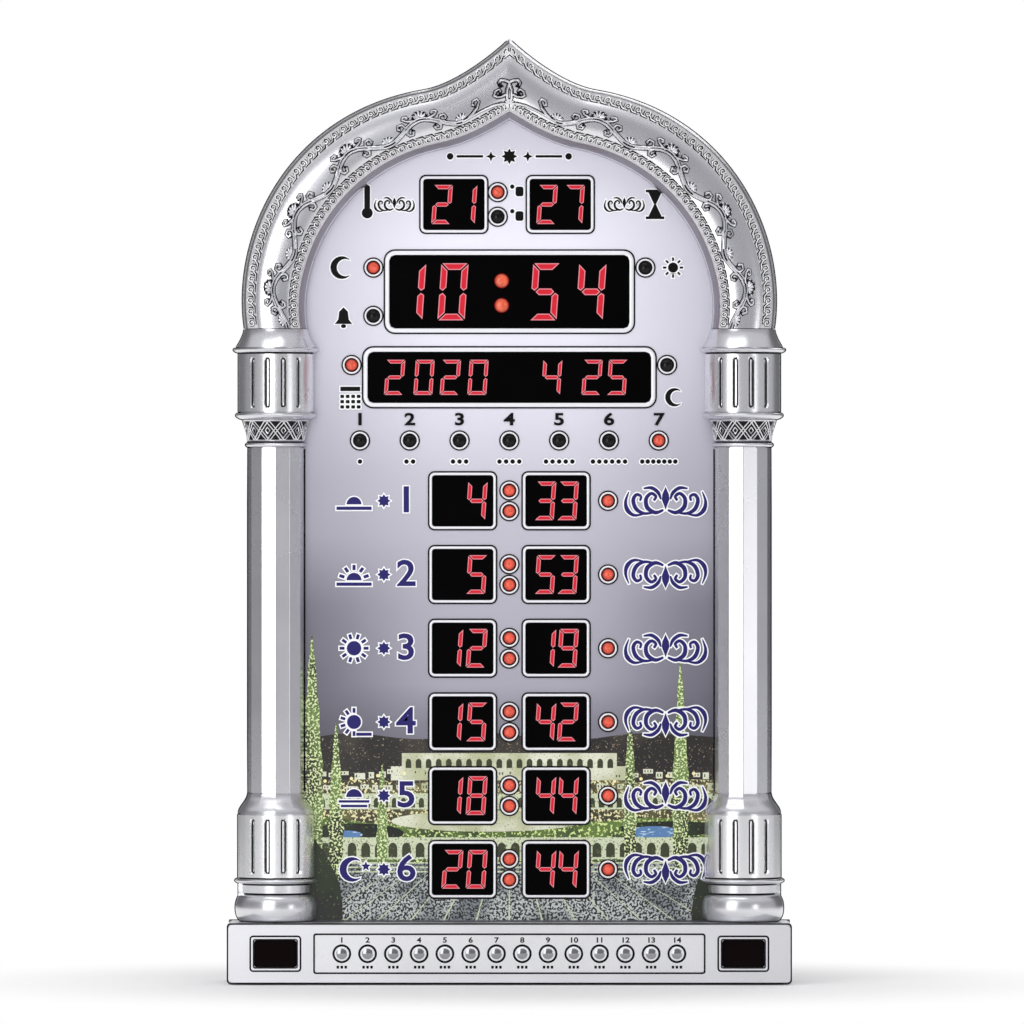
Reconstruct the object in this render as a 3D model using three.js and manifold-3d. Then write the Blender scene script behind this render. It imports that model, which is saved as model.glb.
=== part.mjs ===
// Prayer-time wall clock with a pointed arch on two fluted columns, a base with fourteen buttons,
// and sixteen seven-segment display windows in a printed face.
//
// Everything is drawn in millimetres as seen from the front: x to the right, y up from the underside
// of the base, z towards the viewer from the rear face. The exported group then stands the drawing up,
// so that +Z is up, the face looks along -Y, and the origin is under the middle of the part.

import * as THREE from "three";
import { mergeVertices } from "three/addons/utils/BufferGeometryUtils.js";
import Module from "manifold-3d";

const wasm = await Module();
wasm.setup();

// All mouldings
const wall = 2;
const seatGap = 0.3; // between pieces that rest on each other
const slideGap = 0.25; // around a piece that slides in a hole
const overrun = 1; // how far a cut runs past what it cuts
const weldDistance = 1e-4;

// Base
const baseWidth = 256.6;
const baseHeight = 27.6;
const baseDepth = 50;
const baseFrontWall = 2.5;
const baseCornerRadius = 1.6;
const baseChamfer = 0.8;

// Rear cover
const rearWall = 2.2;
const rearRimDepth = 12;

// Columns, from the foot up
const columnSetback = 22; // of the columns' axes from the ends of the base
const torusRadius = 18.7;
const torusHeight = 12.6;
const scotiaRadius = 15.4;
const scotiaHeight = 4.6;
const lowerLipRadius = 18.8;
const lowerLipHeight = 2.6;
const lowerDrumRadius = 17.4;
const lowerDrumHeight = 29.2;
const shoulderHeight = 9.4;
const shaftRadius = 12.9;
const shaftFaces = 12; // of the whole round, half of which shows
const shaftHeight = 157.4;
const astragalRadius = 13.9;
const astragalHeight = 2.8;
const neckRadius = 15;
const neckHollow = 0.6;
const neckHeight = 9.7;
const upperLipRadius = 18.2;
const upperLipHeight = 3.4;
const upperDrumRadius = 17.2;
const upperDrumHeight = 27;
const capLipRadius = 19.4;
const capLipHeight = 2;
const capHeight = 8.9;

// Flutes of the drums
const fluteRadius = 1.3;
const fluteDepth = 0.9;
const fluteMargin = 1.7; // from a flute's end to the end of its drum
const fluteCount = 4;
const fluteSpacingDegrees = 25;

// Arch
const archFootRadius = 14.4; // half the band's width where it stands on the column
const archOuterRise = 132.2;
const archInnerRise = 95.1;
const archCrown = 13.4; // how far the band stands out from the face
const archScrewShare = 0.45; // of the way up the arch's lower curve

// Shares of half the span and of the rise, for two Bezier curves from the foot to the apex
const outerEdgeShares = [
  [1, 0], [1.052, 0.314], [0.848, 0.742], [0.325, 0.823], [0.205, 0.842], [0.065, 0.943], [0, 1],
];
const innerEdgeShares = [
  [1, 0], [1.056, 0.286], [0.853, 0.754], [0.331, 0.86], [0.177, 0.892], [0.07, 0.964], [0, 1],
];

// Face panel
const panelBack = 26;
const panelThickness = 2.5;
const panelBossClearance = 1.8;
const panelLapShare = 0.24; // of the arch band, in front of the panel's edge
const rimHeight = 0.6;

// Windows in the face; heights are shares of the columns' height or of the arch's inner rise
const smallWindowWidth = 30.2;
const smallWindowHeight = 25.6;
const smallWindowCorner = 2.4;
const smallRimWidth = 1.1;
const clockWindowWidth = 113.2;
const clockWindowHeight = 37.2;
const dateWindowWidth = 133;
const dateWindowHeight = 27;
const largeWindowCorner = 4.5;
const largeRimWidth = 1.8;
const topWindowShare = 0.596;
const clockWindowShare = 0.178;
const dateWindowShare = 0.918;
const topRowShare = 0.7095;
const bottomRowShare = 0.087;
const rowCount = 6;
const rowWindowGap = 12.4; // between an hour window and its minute window
const temperatureWindowInset = 10.2; // of the window's near edge from the middle of the face
const countdownWindowInset = 8.1;

// Lamps in the face
const lampRadius = 2.5;
const lampProud = 1.3;
const lampDomeHeight = 1.6;
const lampShoulderShare = 0.72;
const lampHoleRadius = 3.2;
const lampMargin = 5.4; // from a large window's edge to the lamp beside it
const colonHalfPitch = 4.7;
const rowLampMargin = 8.6;
const weekdayCount = 7;
const weekdayPitch = 22.7;
const weekdayShare = 0.8115; // of the columns' height
const scaleLampOffset = 5.3;
const scaleLampHalfPitch = 5.6;
const modeLampHalfPitch = 11;

// Main board and display modules
const boardBack = 15;
const boardThickness = 1.6;
const boardMargin = 4; // around what the board carries
const moduleGap = 0.4; // between a module and the edge of its window
const moduleRecess = 1; // of a module's front behind the face
const boardPostRadius = 3;
const boardPostInset = 19; // from the panel's edge
const boardPostShares = [0.267, 0.771]; // of the columns' height

// Screws and bosses
const bossRadius = 3.5;
const bossSplit = 15; // where a front boss meets the rear cover's boss
const rearBossRadius = 4.6;
const headRecessRadius = 3.6;
const headRecessDepth = 2.6;
const coverScrewHeadRadius = 3.2;
const coverScrewHeadHeight = 2;
const coverScrewRadius = 1.5;
const coverScrewLength = 20;
const boardScrewHeadRadius = 2.6;
const boardScrewHeadHeight = 1.7;
const boardScrewRadius = 1.2;
const boardScrewLength = 9;
const driveSlotWidth = 0.8;
const driveSlotDepth = 0.9;
const columnScrewShares = [0.286, 0.731]; // of the columns' height

// Buttons
const buttonCount = 14;
const buttonRadius = 3.3;
const buttonProud = 1.6; // how far a button stands out from the base's front
const buttonDomeHeight = 0.9;
const buttonFlatShare = 0.7; // of the button's radius, left flat on its top
const buttonFlangeWidth = 1;
const buttonFlangeThickness = 1;
const buttonTravel = 0.5;
const switchSize = 6;
const switchHeight = 3.5;
const plungerRadius = 1.6;
const plungerHeight = 2.4;

// Button strip, in a recess of the base's front
const stripSideMargin = 40; // from the end of the base to the end of the strip
const stripEndMargin = 12.2; // from the end of the strip to the middle of the first button
const stripHeight = 17;
const stripThickness = 1.2;
const stripCorner = 1;
const stripRecess = 1.7;
const stripSlotMargin = 1.9; // around the buttons' flanges, in the wall behind the strip

// Button board
const buttonBoardHeight = 16.4;
const buttonBoardThickness = 1.4;
const buttonBoardPostRadius = 2.6;

// Sensor windows in the base, and what looks out through them
const sensorWindowGap = 8.3; // from the end of the strip
const sensorWindowWidth = 19.2;
const sensorWindowHeight = 12.2;
const sensorWindowCorner = 0.8;
const sensorRimWidth = 1.4;
const sensorRimHeight = 0.6;
const sensorPaneThickness = 1.2;
const sensorPaneRecess = 0.6;
const sensorFlangeWidth = 1.6;
const receiverWidth = 8;
const receiverHeight = 9;
const receiverThickness = 3;
const receiverLensRadius = 2.4;
const receiverLensHeight = 1.2;
const photocellRadius = 2.6;
const photocellHeight = 3.4;

// Speaker and its grille
const speakerRadius = 25;
const speakerShare = 0.163; // of the columns' height
const speakerFlange = 1.6;
const basketRadius = 21;
const basketDepth = 5;
const magnetRadius = 12;
const magnetDepth = 4.4;
const speakerRingHeight = 2.4;
const grilleRadius = 20;
const grilleSlotCount = 7;
const grilleSlotWidth = 2.4;

// Keyhole hangers
const keyholeX = 58;
const keyholeShare = 0.254; // of the arch's inner rise
const keyholeEntryRadius = 5;
const keyholeSlotRadius = 2.3;
const keyholeSlotLength = 10;
const keyholePocketMargin = 1;
const keyholePocketWall = 1;
const keyholePocketDepth = 6.6;

// Power jack in the right-hand side of the rear cover
const jackShare = 0.378; // of the columns' height
const jackNoseRadius = 3.8;
const jackNoseLength = 2;
const jackBodyLength = 13;
const jackBodyWidth = 9;
const jackBoreRadius = 3.1;
const jackBoreDepth = 9.5;
const jackPinRadius = 1;
const jackPinRecess = 1;

// Back-up cell behind the main board
const cellX = -42;
const cellShare = 0.564; // of the columns' height
const cellRadius = 10;
const cellThickness = 3.2;
const holderSize = 24;
const holderFloor = 1;

// How finely round shapes are divided
const columnSteps = shaftFaces; // of a half round, two to each face of the shaft
const torusSteps = 4;
const archCrownSteps = 10;
const lowerCurveSteps = 10;
const upperCurveSteps = 5;
const cavitySteps = 6;
const fluteCapSteps = 2;
const fluteSides = 6;
const roundSides = 8;
const buttonSides = 10;
const lampSides = 6;
const screwSides = 6;

// Depths and places that follow from those sizes
const columnAxisX = baseWidth / 2 - columnSetback;
const panelFront = panelBack + panelThickness;
const reliefPlane = panelFront + seatGap;
const skirtBack = rearRimDepth + seatGap;
const boardFront = boardBack + boardThickness;
const buttonY = baseHeight / 2;
const stripFront = baseDepth - stripRecess + seatGap + stripThickness;
const stripBack = stripFront - stripThickness;
const stripWidth = baseWidth - 2 * stripSideMargin;
const buttonPitch = (stripWidth - 2 * stripEndMargin) / (buttonCount - 1);
const buttonFlangeFront = stripBack - seatGap;
const buttonFlangeBack = buttonFlangeFront - buttonFlangeThickness;
const buttonFlangeRadius = buttonRadius + buttonFlangeWidth;
const plungerTop = buttonFlangeBack - buttonTravel - seatGap;
const buttonBoardFront = plungerTop - plungerHeight - switchHeight;
const buttonBoardBack = buttonBoardFront - buttonBoardThickness;
const sensorWindowX = (stripWidth + sensorWindowWidth) / 2 + sensorWindowGap;
const buttonBoardWidth = 2 * sensorWindowX + receiverWidth + sensorFlangeWidth;
const paneFront = baseDepth - sensorPaneRecess;
const paneFlangeFront = baseDepth - baseFrontWall - seatGap;
const paneFlangeBack = paneFlangeFront - sensorPaneThickness;
const totalDepth = baseDepth + buttonProud;

// Levels of the columns: each band stands on the one below
const columnFoot = baseHeight + seatGap;
const torusTop = columnFoot + torusHeight;
const scotiaTop = torusTop + scotiaHeight;
const lowerDrumBottom = scotiaTop + lowerLipHeight;
const lowerDrumTop = lowerDrumBottom + lowerDrumHeight;
const shaftBottom = lowerDrumTop + shoulderHeight;
const shaftTop = shaftBottom + shaftHeight;
const astragalTop = shaftTop + astragalHeight;
const neckTop = astragalTop + neckHeight;
const upperDrumBottom = neckTop + upperLipHeight;
const upperDrumTop = upperDrumBottom + upperDrumHeight;
const capLipTop = upperDrumTop + capLipHeight;
const columnTop = capLipTop + capHeight;
const archFoot = columnTop + seatGap;
const alongColumn = (share) => columnFoot + share * (archFoot - columnFoot);
const alongRise = (share) => archFoot + share * archInnerRise;

const silver = new THREE.MeshStandardMaterial({ color: 0xd2d0d8, metalness: 0.9, roughness: 0.28 });
const faceFilm = new THREE.MeshStandardMaterial({ color: 0xc9c6d6, metalness: 0.1, roughness: 0.35 });
const darkPlastic = new THREE.MeshStandardMaterial({ color: 0x2b2b2e, metalness: 0, roughness: 0.6 });
const displayBlack = new THREE.MeshStandardMaterial({ color: 0x0a0405, metalness: 0, roughness: 0.3 });
const smokedRed = new THREE.MeshStandardMaterial({ color: 0x190506, metalness: 0, roughness: 0.12 });
const boardGreen = new THREE.MeshStandardMaterial({ color: 0x1c5a36, metalness: 0, roughness: 0.5 });
const steel = new THREE.MeshStandardMaterial({ color: 0xa9abb0, metalness: 1, roughness: 0.35 });

// A closed geometry as a solid that can be joined and cut, whichever way its faces look
function solidOf(geometry) {
  const bare = geometry.clone();
  bare.deleteAttribute("normal");
  bare.deleteAttribute("uv");
  const welded = mergeVertices(bare, weldDistance);
  const mesh = new wasm.Mesh({
    numProp: 3,
    vertProperties: welded.attributes.position.array,
    triVerts: new Uint32Array(welded.index.array),
  });
  const body = new wasm.Manifold(mesh);
  if (body.volume() > 0) {
    return body;
  }
  mesh.triVerts = mesh.triVerts.toReversed();
  return new wasm.Manifold(mesh);
}

function meshOf(name, body, material) {
  const { vertProperties, triVerts } = body.getMesh();
  const geometry = new THREE.BufferGeometry();
  geometry.setAttribute("position", new THREE.BufferAttribute(vertProperties, 3));
  geometry.setIndex(new THREE.BufferAttribute(triVerts, 1));
  geometry.computeVertexNormals();
  const mesh = new THREE.Mesh(geometry, material);
  mesh.name = name;
  return mesh;
}

const joined = (bodies) => bodies.reduce((whole, body) => whole.add(body));
const cutFrom = (body, cutters) => cutters.reduce((rest, cutter) => rest.subtract(cutter), body);

function rectangle(width, height, corner, x, y) {
  const shape = new THREE.Shape();
  const [right, top] = [x + width / 2, y + height / 2];
  const [left, bottom] = [x - width / 2, y - height / 2];
  if (corner > 0) {
    shape.absarc(right - corner, bottom + corner, corner, -Math.PI / 2, 0);
    shape.absarc(right - corner, top - corner, corner, 0, Math.PI / 2);
    shape.absarc(left + corner, top - corner, corner, Math.PI / 2, Math.PI);
    shape.absarc(left + corner, bottom + corner, corner, Math.PI, Math.PI * 1.5);
  } else {
    shape.moveTo(left, bottom);
    shape.lineTo(right, bottom);
    shape.lineTo(right, top);
    shape.lineTo(left, top);
  }
  return shape;
}

// A flat outline between two depths; each of its arcs gets twice as many sides as steps
function slab(shape, back, front, curveSegments = 1) {
  const geometry = new THREE.ExtrudeGeometry(shape, {
    depth: front - back,
    bevelEnabled: false,
    curveSegments,
  });
  return solidOf(geometry.translate(0, 0, back));
}

function disc(radius, { x, y }, back, front, sides = roundSides) {
  const shape = new THREE.Shape();
  shape.absarc(x, y, radius, 0, Math.PI * 2);
  return slab(shape, back, front, sides / 2);
}

// A profile of [radius, depth] pairs turned about a line that points at the viewer
function turned(profile, { x, y }, sides) {
  const points = profile.map(([radius, depth]) => new THREE.Vector2(radius, depth));
  const geometry = new THREE.LatheGeometry(points, sides);
  return solidOf(geometry.rotateX(Math.PI / 2).translate(x, y, 0));
}

// A skin over rings with the same number of points, closed by a cap on the first and on the last.
// The first ring is flat, and the two named axes are the ones that it lies along.
function loft(rings, across, up) {
  const count = rings[0].length;
  const positions = rings.flat().flatMap(({ x, y, z }) => [x, y, z]);
  const index = [];
  for (let ring = 0; ring + 1 < rings.length; ring += 1) {
    for (let point = 0; point < count; point += 1) {
      const a = ring * count + point;
      const b = ring * count + ((point + 1) % count);
      index.push(a, b, b + count, a, b + count, a + count);
    }
  }
  const last = (rings.length - 1) * count;
  const contour = rings[0].map((point) => new THREE.Vector2(point[across], point[up]));
  const backwards = THREE.ShapeUtils.isClockWise(contour);
  for (const face of THREE.ShapeUtils.triangulateShape(contour, [])) {
    const [a, b, c] = backwards ? face.toReversed() : face;
    index.push(a, c, b, last + a, last + b, last + c);
  }
  const geometry = new THREE.BufferGeometry();
  geometry.setAttribute("position", new THREE.Float32BufferAttribute(positions, 3));
  geometry.setIndex(index);
  return solidOf(geometry);
}

// Arch: a half-round band between two edge curves, with a skirt back to the rear cover on its outside

const archHalfSpan = columnAxisX + archFootRadius;
const archBand = 2 * archFootRadius;

function edgeCurves(halfSpan, rise, edgeShares) {
  const points = edgeShares.map(
    ([across, up]) => new THREE.Vector2(across * halfSpan, archFoot + up * rise),
  );
  return [
    new THREE.CubicBezierCurve(...points.slice(0, 4)),
    new THREE.CubicBezierCurve(...points.slice(3)),
  ];
}

const outerCurves = edgeCurves(archHalfSpan, archOuterRise, outerEdgeShares);
const innerCurves = edgeCurves(archHalfSpan - archBand, archInnerRise, innerEdgeShares);

// The point a share of the way across the band, from its outer edge to its inner one
function acrossBand(curve, along, share) {
  return outerCurves[curve].getPoint(along).lerp(innerCurves[curve].getPoint(along), share);
}

// A line that follows the right-hand half of the arch from the foot to the apex
function archLine(share) {
  const line = [];
  for (let step = 0; step < lowerCurveSteps; step += 1) {
    line.push(acrossBand(0, step / lowerCurveSteps, share));
  }
  for (let step = 0; step <= upperCurveSteps; step += 1) {
    line.push(acrossBand(1, step / upperCurveSteps, share));
  }
  return line;
}

// The band's section as [share across, depth] pairs: over the crown, back under it, and down the skirt
function archSection() {
  const section = [];
  const wallShare = wall / archBand;
  for (let step = 0; step <= archCrownSteps; step += 1) {
    const angle = (Math.PI * step) / archCrownSteps;
    section.push([(1 - Math.cos(angle)) / 2, reliefPlane + archCrown * Math.sin(angle)]);
  }
  for (let step = cavitySteps; step >= 0; step -= 1) {
    const angle = (Math.PI * step) / cavitySteps;
    const share = (1 - (1 - 2 * wallShare) * Math.cos(angle)) / 2;
    section.push([share, reliefPlane + (archCrown - wall) * Math.sin(angle)]);
  }
  section.push([wallShare, skirtBack], [0, skirtBack]);
  return section;
}

// Where a screw from the rear cover enters the arch
function archScrewPlace(side) {
  const { x, y } = acrossBand(0, archScrewShare, 1 / 2);
  return { x: side * x, y };
}

const coverScrewBack = headRecessDepth - seatGap - coverScrewHeadHeight;
const coverScrewTip = coverScrewBack + coverScrewHeadHeight + coverScrewLength;
const coverScrewHoleRadius = coverScrewRadius + seatGap;

// Adds a post for each screw to a front moulding, from its roof back to the rear cover's boss
function withBosses(body, places, roof) {
  const bosses = places.map((place) => disc(bossRadius, place, bossSplit, roof));
  const holes = places.map((place) =>
    disc(coverScrewHoleRadius, place, bossSplit - overrun, coverScrewTip + seatGap, screwSides),
  );
  return cutFrom(joined([body, ...bosses]), holes);
}

function archFrame() {
  const section = archSection();
  const lines = section.map(([share]) => archLine(share));
  const stations = lines[0].map((_, station) => station);
  const ringAt = (side, station) =>
    section.map(([, depth], point) => {
      const { x, y } = lines[point][station];
      return new THREE.Vector3(side * x, y, depth);
    });
  const right = stations.map((station) => ringAt(1, station));
  const left = stations.slice(0, -1).map((station) => ringAt(-1, station));
  const band = loft([...right, ...left.reverse()], "x", "z");
  return withBosses(band, [archScrewPlace(1), archScrewPlace(-1)], reliefPlane + archCrown - wall / 2);
}

// Column: half-round bands stacked on a skirt, hollow from behind

// The faceted shaft's reach at an angle, as a share of its corner radius
function facetShare(angle) {
  const face = (2 * Math.PI) / shaftFaces;
  return Math.cos(face / 2) / Math.cos((angle % face) - face / 2);
}

const shaftFlatRadius = shaftRadius * Math.cos(Math.PI / shaftFaces);

// Levels as [height, radius] pairs from the foot to the top; the shaft has a radius for each angle
function columnLevels() {
  const levels = [];
  for (let step = 0; step <= torusSteps; step += 1) {
    const swell = (torusRadius - scotiaRadius) * Math.sin((Math.PI * step) / torusSteps);
    levels.push([columnFoot + (torusHeight * step) / torusSteps, scotiaRadius + swell]);
  }
  const shaft = (angle) => shaftRadius * facetShare(angle);
  const neckMiddle = (shaftRadius + neckRadius) / 2 - neckHollow;
  return [
    ...levels,
    [scotiaTop, scotiaRadius],
    [(scotiaTop + lowerDrumBottom) / 2, lowerLipRadius],
    [lowerDrumBottom, lowerDrumRadius],
    [lowerDrumTop, lowerDrumRadius],
    [shaftBottom, shaft],
    [shaftTop, shaft],
    [(shaftTop + astragalTop) / 2, astragalRadius],
    [astragalTop, shaftRadius],
    [(astragalTop + neckTop) / 2, neckMiddle],
    [neckTop, neckRadius],
    [(neckTop + upperDrumBottom) / 2, upperLipRadius],
    [upperDrumBottom, upperDrumRadius],
    [upperDrumTop, upperDrumRadius],
    [(upperDrumTop + capLipTop) / 2, capLipRadius],
    [capLipTop, capLipRadius],
    [columnTop, archFootRadius],
  ];
}

// A half round at one height, from the inner side over the front to the outer side
function halfRound(y, radius, steps) {
  return Array.from({ length: steps + 1 }, (_, step) => {
    const angle = (Math.PI * step) / steps;
    const reach = typeof radius === "function" ? radius(angle) : radius;
    return new THREE.Vector3(-reach * Math.cos(angle), y, reliefPlane + reach * Math.sin(angle));
  });
}

// The outside of the column: the half round and its skirt, which is solid until the hollow is cut
function columnRing([y, radius]) {
  const front = halfRound(y, radius, columnSteps);
  const edge = front.at(-1).x;
  const inner = shaftFlatRadius - wall - overrun;
  return [
    ...front,
    new THREE.Vector3(edge, y, skirtBack),
    new THREE.Vector3(inner, y, skirtBack),
    new THREE.Vector3(inner, y, reliefPlane),
  ];
}

// A half-round hollow between two heights, open to the rear
function columnHollow(radius, bottom, top) {
  const back = skirtBack - overrun;
  const rings = [bottom, top].map((y) => [
    ...halfRound(y, radius, cavitySteps),
    new THREE.Vector3(radius, y, back),
    new THREE.Vector3(-radius, y, back),
  ]);
  return loft(rings, "x", "z");
}

// Round-ended grooves down the front of a drum
function drumFlutes(drumRadius, bottom, top) {
  const length = top - bottom - 2 * (fluteMargin + fluteRadius);
  const orbit = drumRadius - fluteDepth + fluteRadius;
  return Array.from({ length: fluteCount }, (_, flute) => {
    const degrees = (flute - (fluteCount - 1) / 2) * fluteSpacingDegrees;
    const angle = THREE.MathUtils.degToRad(degrees);
    const groove = new THREE.CapsuleGeometry(fluteRadius, length, fluteCapSteps, fluteSides);
    const [x, z] = [orbit * Math.sin(angle), reliefPlane + orbit * Math.cos(angle)];
    return solidOf(groove.translate(x, (bottom + top) / 2, z));
  });
}

const columnScrewHeights = columnScrewShares.map(alongColumn);

function column() {
  const shell = cutFrom(loft(columnLevels().map(columnRing), "x", "z"), [
    columnHollow(shaftFlatRadius - wall, columnFoot + wall, columnTop - wall),
    columnHollow(lowerDrumRadius - wall, lowerDrumBottom + wall, lowerDrumTop - wall),
    columnHollow(upperDrumRadius - wall, upperDrumBottom + wall, upperDrumTop - wall),
    ...drumFlutes(lowerDrumRadius, lowerDrumBottom, lowerDrumTop),
    ...drumFlutes(upperDrumRadius, upperDrumBottom, upperDrumTop),
  ]);
  const places = columnScrewHeights.map((y) => ({ x: 0, y }));
  return withBosses(shell, places, reliefPlane + shaftRadius - wall / 2);
}

// Base: a box open to the rear, with a recess for the button strip and two framed sensor windows

const sides = [-1, 1];
const sensorPlace = (side) => ({ x: side * sensorWindowX, y: buttonY });
const baseScrewPlaces = sides.map((side) => ({
  x: side * (baseWidth / 2 - wall - rearBossRadius - seatGap),
  y: buttonY,
}));

// The base's outline, moved in by an inset, at a depth
function baseRing(inset, depth) {
  const outline = rectangle(baseWidth - 2 * inset, baseHeight - 2 * inset, baseCornerRadius, 0, buttonY);
  return outline.getPoints(1).map(({ x, y }) => new THREE.Vector3(x, y, depth));
}

const sensorOutline = (side, growth) =>
  rectangle(
    sensorWindowWidth + 2 * growth,
    sensorWindowHeight + 2 * growth,
    sensorWindowCorner,
    side * sensorWindowX,
    buttonY,
  );

function baseHousing() {
  const block = loft(
    [baseRing(0, skirtBack), baseRing(0, baseDepth - baseChamfer), baseRing(baseChamfer, baseDepth)],
    "x",
    "y",
  );
  const innerFront = baseDepth - baseFrontWall;
  const roof = baseDepth - baseFrontWall / 2;
  const room = rectangle(baseWidth - 2 * wall, baseHeight - 2 * wall, 0, 0, buttonY);
  const rims = sides.map((side) =>
    slab(sensorOutline(side, sensorRimWidth), roof, baseDepth + sensorRimHeight),
  );
  const posts = sides.map((side) => {
    const place = { x: (side * stripWidth) / 2, y: buttonY };
    return disc(buttonBoardPostRadius, place, buttonBoardFront + seatGap, roof);
  });
  const flangeSpace = buttonFlangeRadius + stripSlotMargin;
  const slotWidth = (buttonCount - 1) * buttonPitch + 2 * flangeSpace;
  const slot = rectangle(slotWidth, 2 * flangeSpace, 0, 0, buttonY);
  const pocket = rectangle(stripWidth + 2 * seatGap, stripHeight + 2 * seatGap, stripCorner, 0, buttonY);
  const windows = sides.map((side) =>
    slab(sensorOutline(side, 0), innerFront - overrun, baseDepth + sensorRimHeight + overrun),
  );
  const shell = cutFrom(block, [slab(room, skirtBack - overrun, innerFront)]);
  const fitted = cutFrom(joined([shell, ...rims, ...posts]), [
    ...windows,
    slab(slot, innerFront - overrun, baseDepth + overrun),
    slab(pocket, baseDepth - stripRecess, baseDepth + overrun),
  ]);
  return withBosses(fitted, baseScrewPlaces, roof);
}

// Windows and lamps of the face

const rows = Array.from({ length: rowCount }, (_, row) => row + 1);
const rowPitchShare = (topRowShare - bottomRowShare) / (rowCount - 1);
const rowY = (row) => alongColumn(topRowShare - (row - 1) * rowPitchShare);
const rowWindowX = (rowWindowGap + smallWindowWidth) / 2;
const topWindowY = alongRise(topWindowShare);
const clockWindowY = alongRise(clockWindowShare);
const dateWindowY = alongColumn(dateWindowShare);

const smallWindow = (name, x, y) => ({
  name,
  x,
  y,
  width: smallWindowWidth,
  height: smallWindowHeight,
  corner: smallWindowCorner,
  rim: smallRimWidth,
});

const largeWindow = (name, y, width, height) => ({
  name,
  x: 0,
  y,
  width,
  height,
  corner: largeWindowCorner,
  rim: largeRimWidth,
});

const displayWindows = [
  smallWindow("temperature_display", -temperatureWindowInset - smallWindowWidth / 2, topWindowY),
  smallWindow("countdown_display", countdownWindowInset + smallWindowWidth / 2, topWindowY),
  largeWindow("clock_display", clockWindowY, clockWindowWidth, clockWindowHeight),
  largeWindow("date_display", dateWindowY, dateWindowWidth, dateWindowHeight),
  ...rows.map((row) => smallWindow(`row_${row}_hour_display`, -rowWindowX, rowY(row))),
  ...rows.map((row) => smallWindow(`row_${row}_minute_display`, rowWindowX, rowY(row))),
];

const modeLampX = clockWindowWidth / 2 + lampMargin;
const calendarLampX = dateWindowWidth / 2 + lampMargin;
const calendarLampY = dateWindowY + scaleLampHalfPitch;

const lampPlaces = [
  { x: -scaleLampOffset, y: topWindowY + scaleLampHalfPitch },
  { x: -scaleLampOffset, y: topWindowY - scaleLampHalfPitch },
  { x: -modeLampX, y: clockWindowY + modeLampHalfPitch },
  { x: -modeLampX, y: clockWindowY - modeLampHalfPitch },
  { x: modeLampX, y: clockWindowY + modeLampHalfPitch },
  { x: -calendarLampX, y: calendarLampY },
  { x: calendarLampX, y: calendarLampY },
  ...Array.from({ length: weekdayCount }, (_, day) => ({
    x: (day - (weekdayCount - 1) / 2) * weekdayPitch,
    y: alongColumn(weekdayShare),
  })),
  ...rows.flatMap((row) => [
    { x: 0, y: rowY(row) + colonHalfPitch },
    { x: 0, y: rowY(row) - colonHalfPitch },
    { x: rowWindowX + smallWindowWidth / 2 + rowLampMargin, y: rowY(row) },
  ]),
];

// Face panel: a plate with a raised rim round each window, a hole for each lamp and posts for the board

const panelHalfWidth = columnAxisX - bossRadius - panelBossClearance;
const boardPostX = panelHalfWidth - boardPostInset;
const boardPostPlaces = boardPostShares.flatMap((share) =>
  sides.map((side) => ({ x: side * boardPostX, y: alongColumn(share) })),
);
const boardScrewHoleRadius = boardScrewRadius + seatGap;

function panelOutline() {
  const right = [
    new THREE.Vector2(panelHalfWidth, columnFoot),
    new THREE.Vector2(panelHalfWidth, capLipTop),
    ...archLine(1 - panelLapShare),
  ];
  const left = right.slice(0, -1).map(({ x, y }) => new THREE.Vector2(-x, y));
  return new THREE.Shape([...right, ...left.reverse()]);
}

function facePanel() {
  const middle = panelBack + panelThickness / 2;
  const rimTop = panelFront + rimHeight;
  const postBack = boardFront + seatGap;
  const rims = displayWindows.map(({ x, y, width, height, corner }) =>
    slab(rectangle(width, height, corner, x, y), middle, rimTop),
  );
  const posts = boardPostPlaces.map((place) => disc(boardPostRadius, place, postBack, middle));
  const openings = displayWindows.map(({ x, y, width, height, corner, rim }) => {
    const opening = rectangle(width - 2 * rim, height - 2 * rim, corner - rim, x, y);
    return slab(opening, panelBack - overrun, rimTop + overrun);
  });
  const lampHoles = lampPlaces.map((place) =>
    disc(lampHoleRadius, place, panelBack - overrun, panelFront + overrun, lampSides),
  );
  const screwHoles = boardPostPlaces.map((place) =>
    disc(boardScrewHoleRadius, place, postBack - overrun, panelBack, screwSides),
  );
  const plate = slab(panelOutline(), panelBack, panelFront);
  return cutFrom(joined([plate, ...rims, ...posts]), [...openings, ...lampHoles, ...screwHoles]);
}

// Main board, with the lamps that shine through the face

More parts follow.
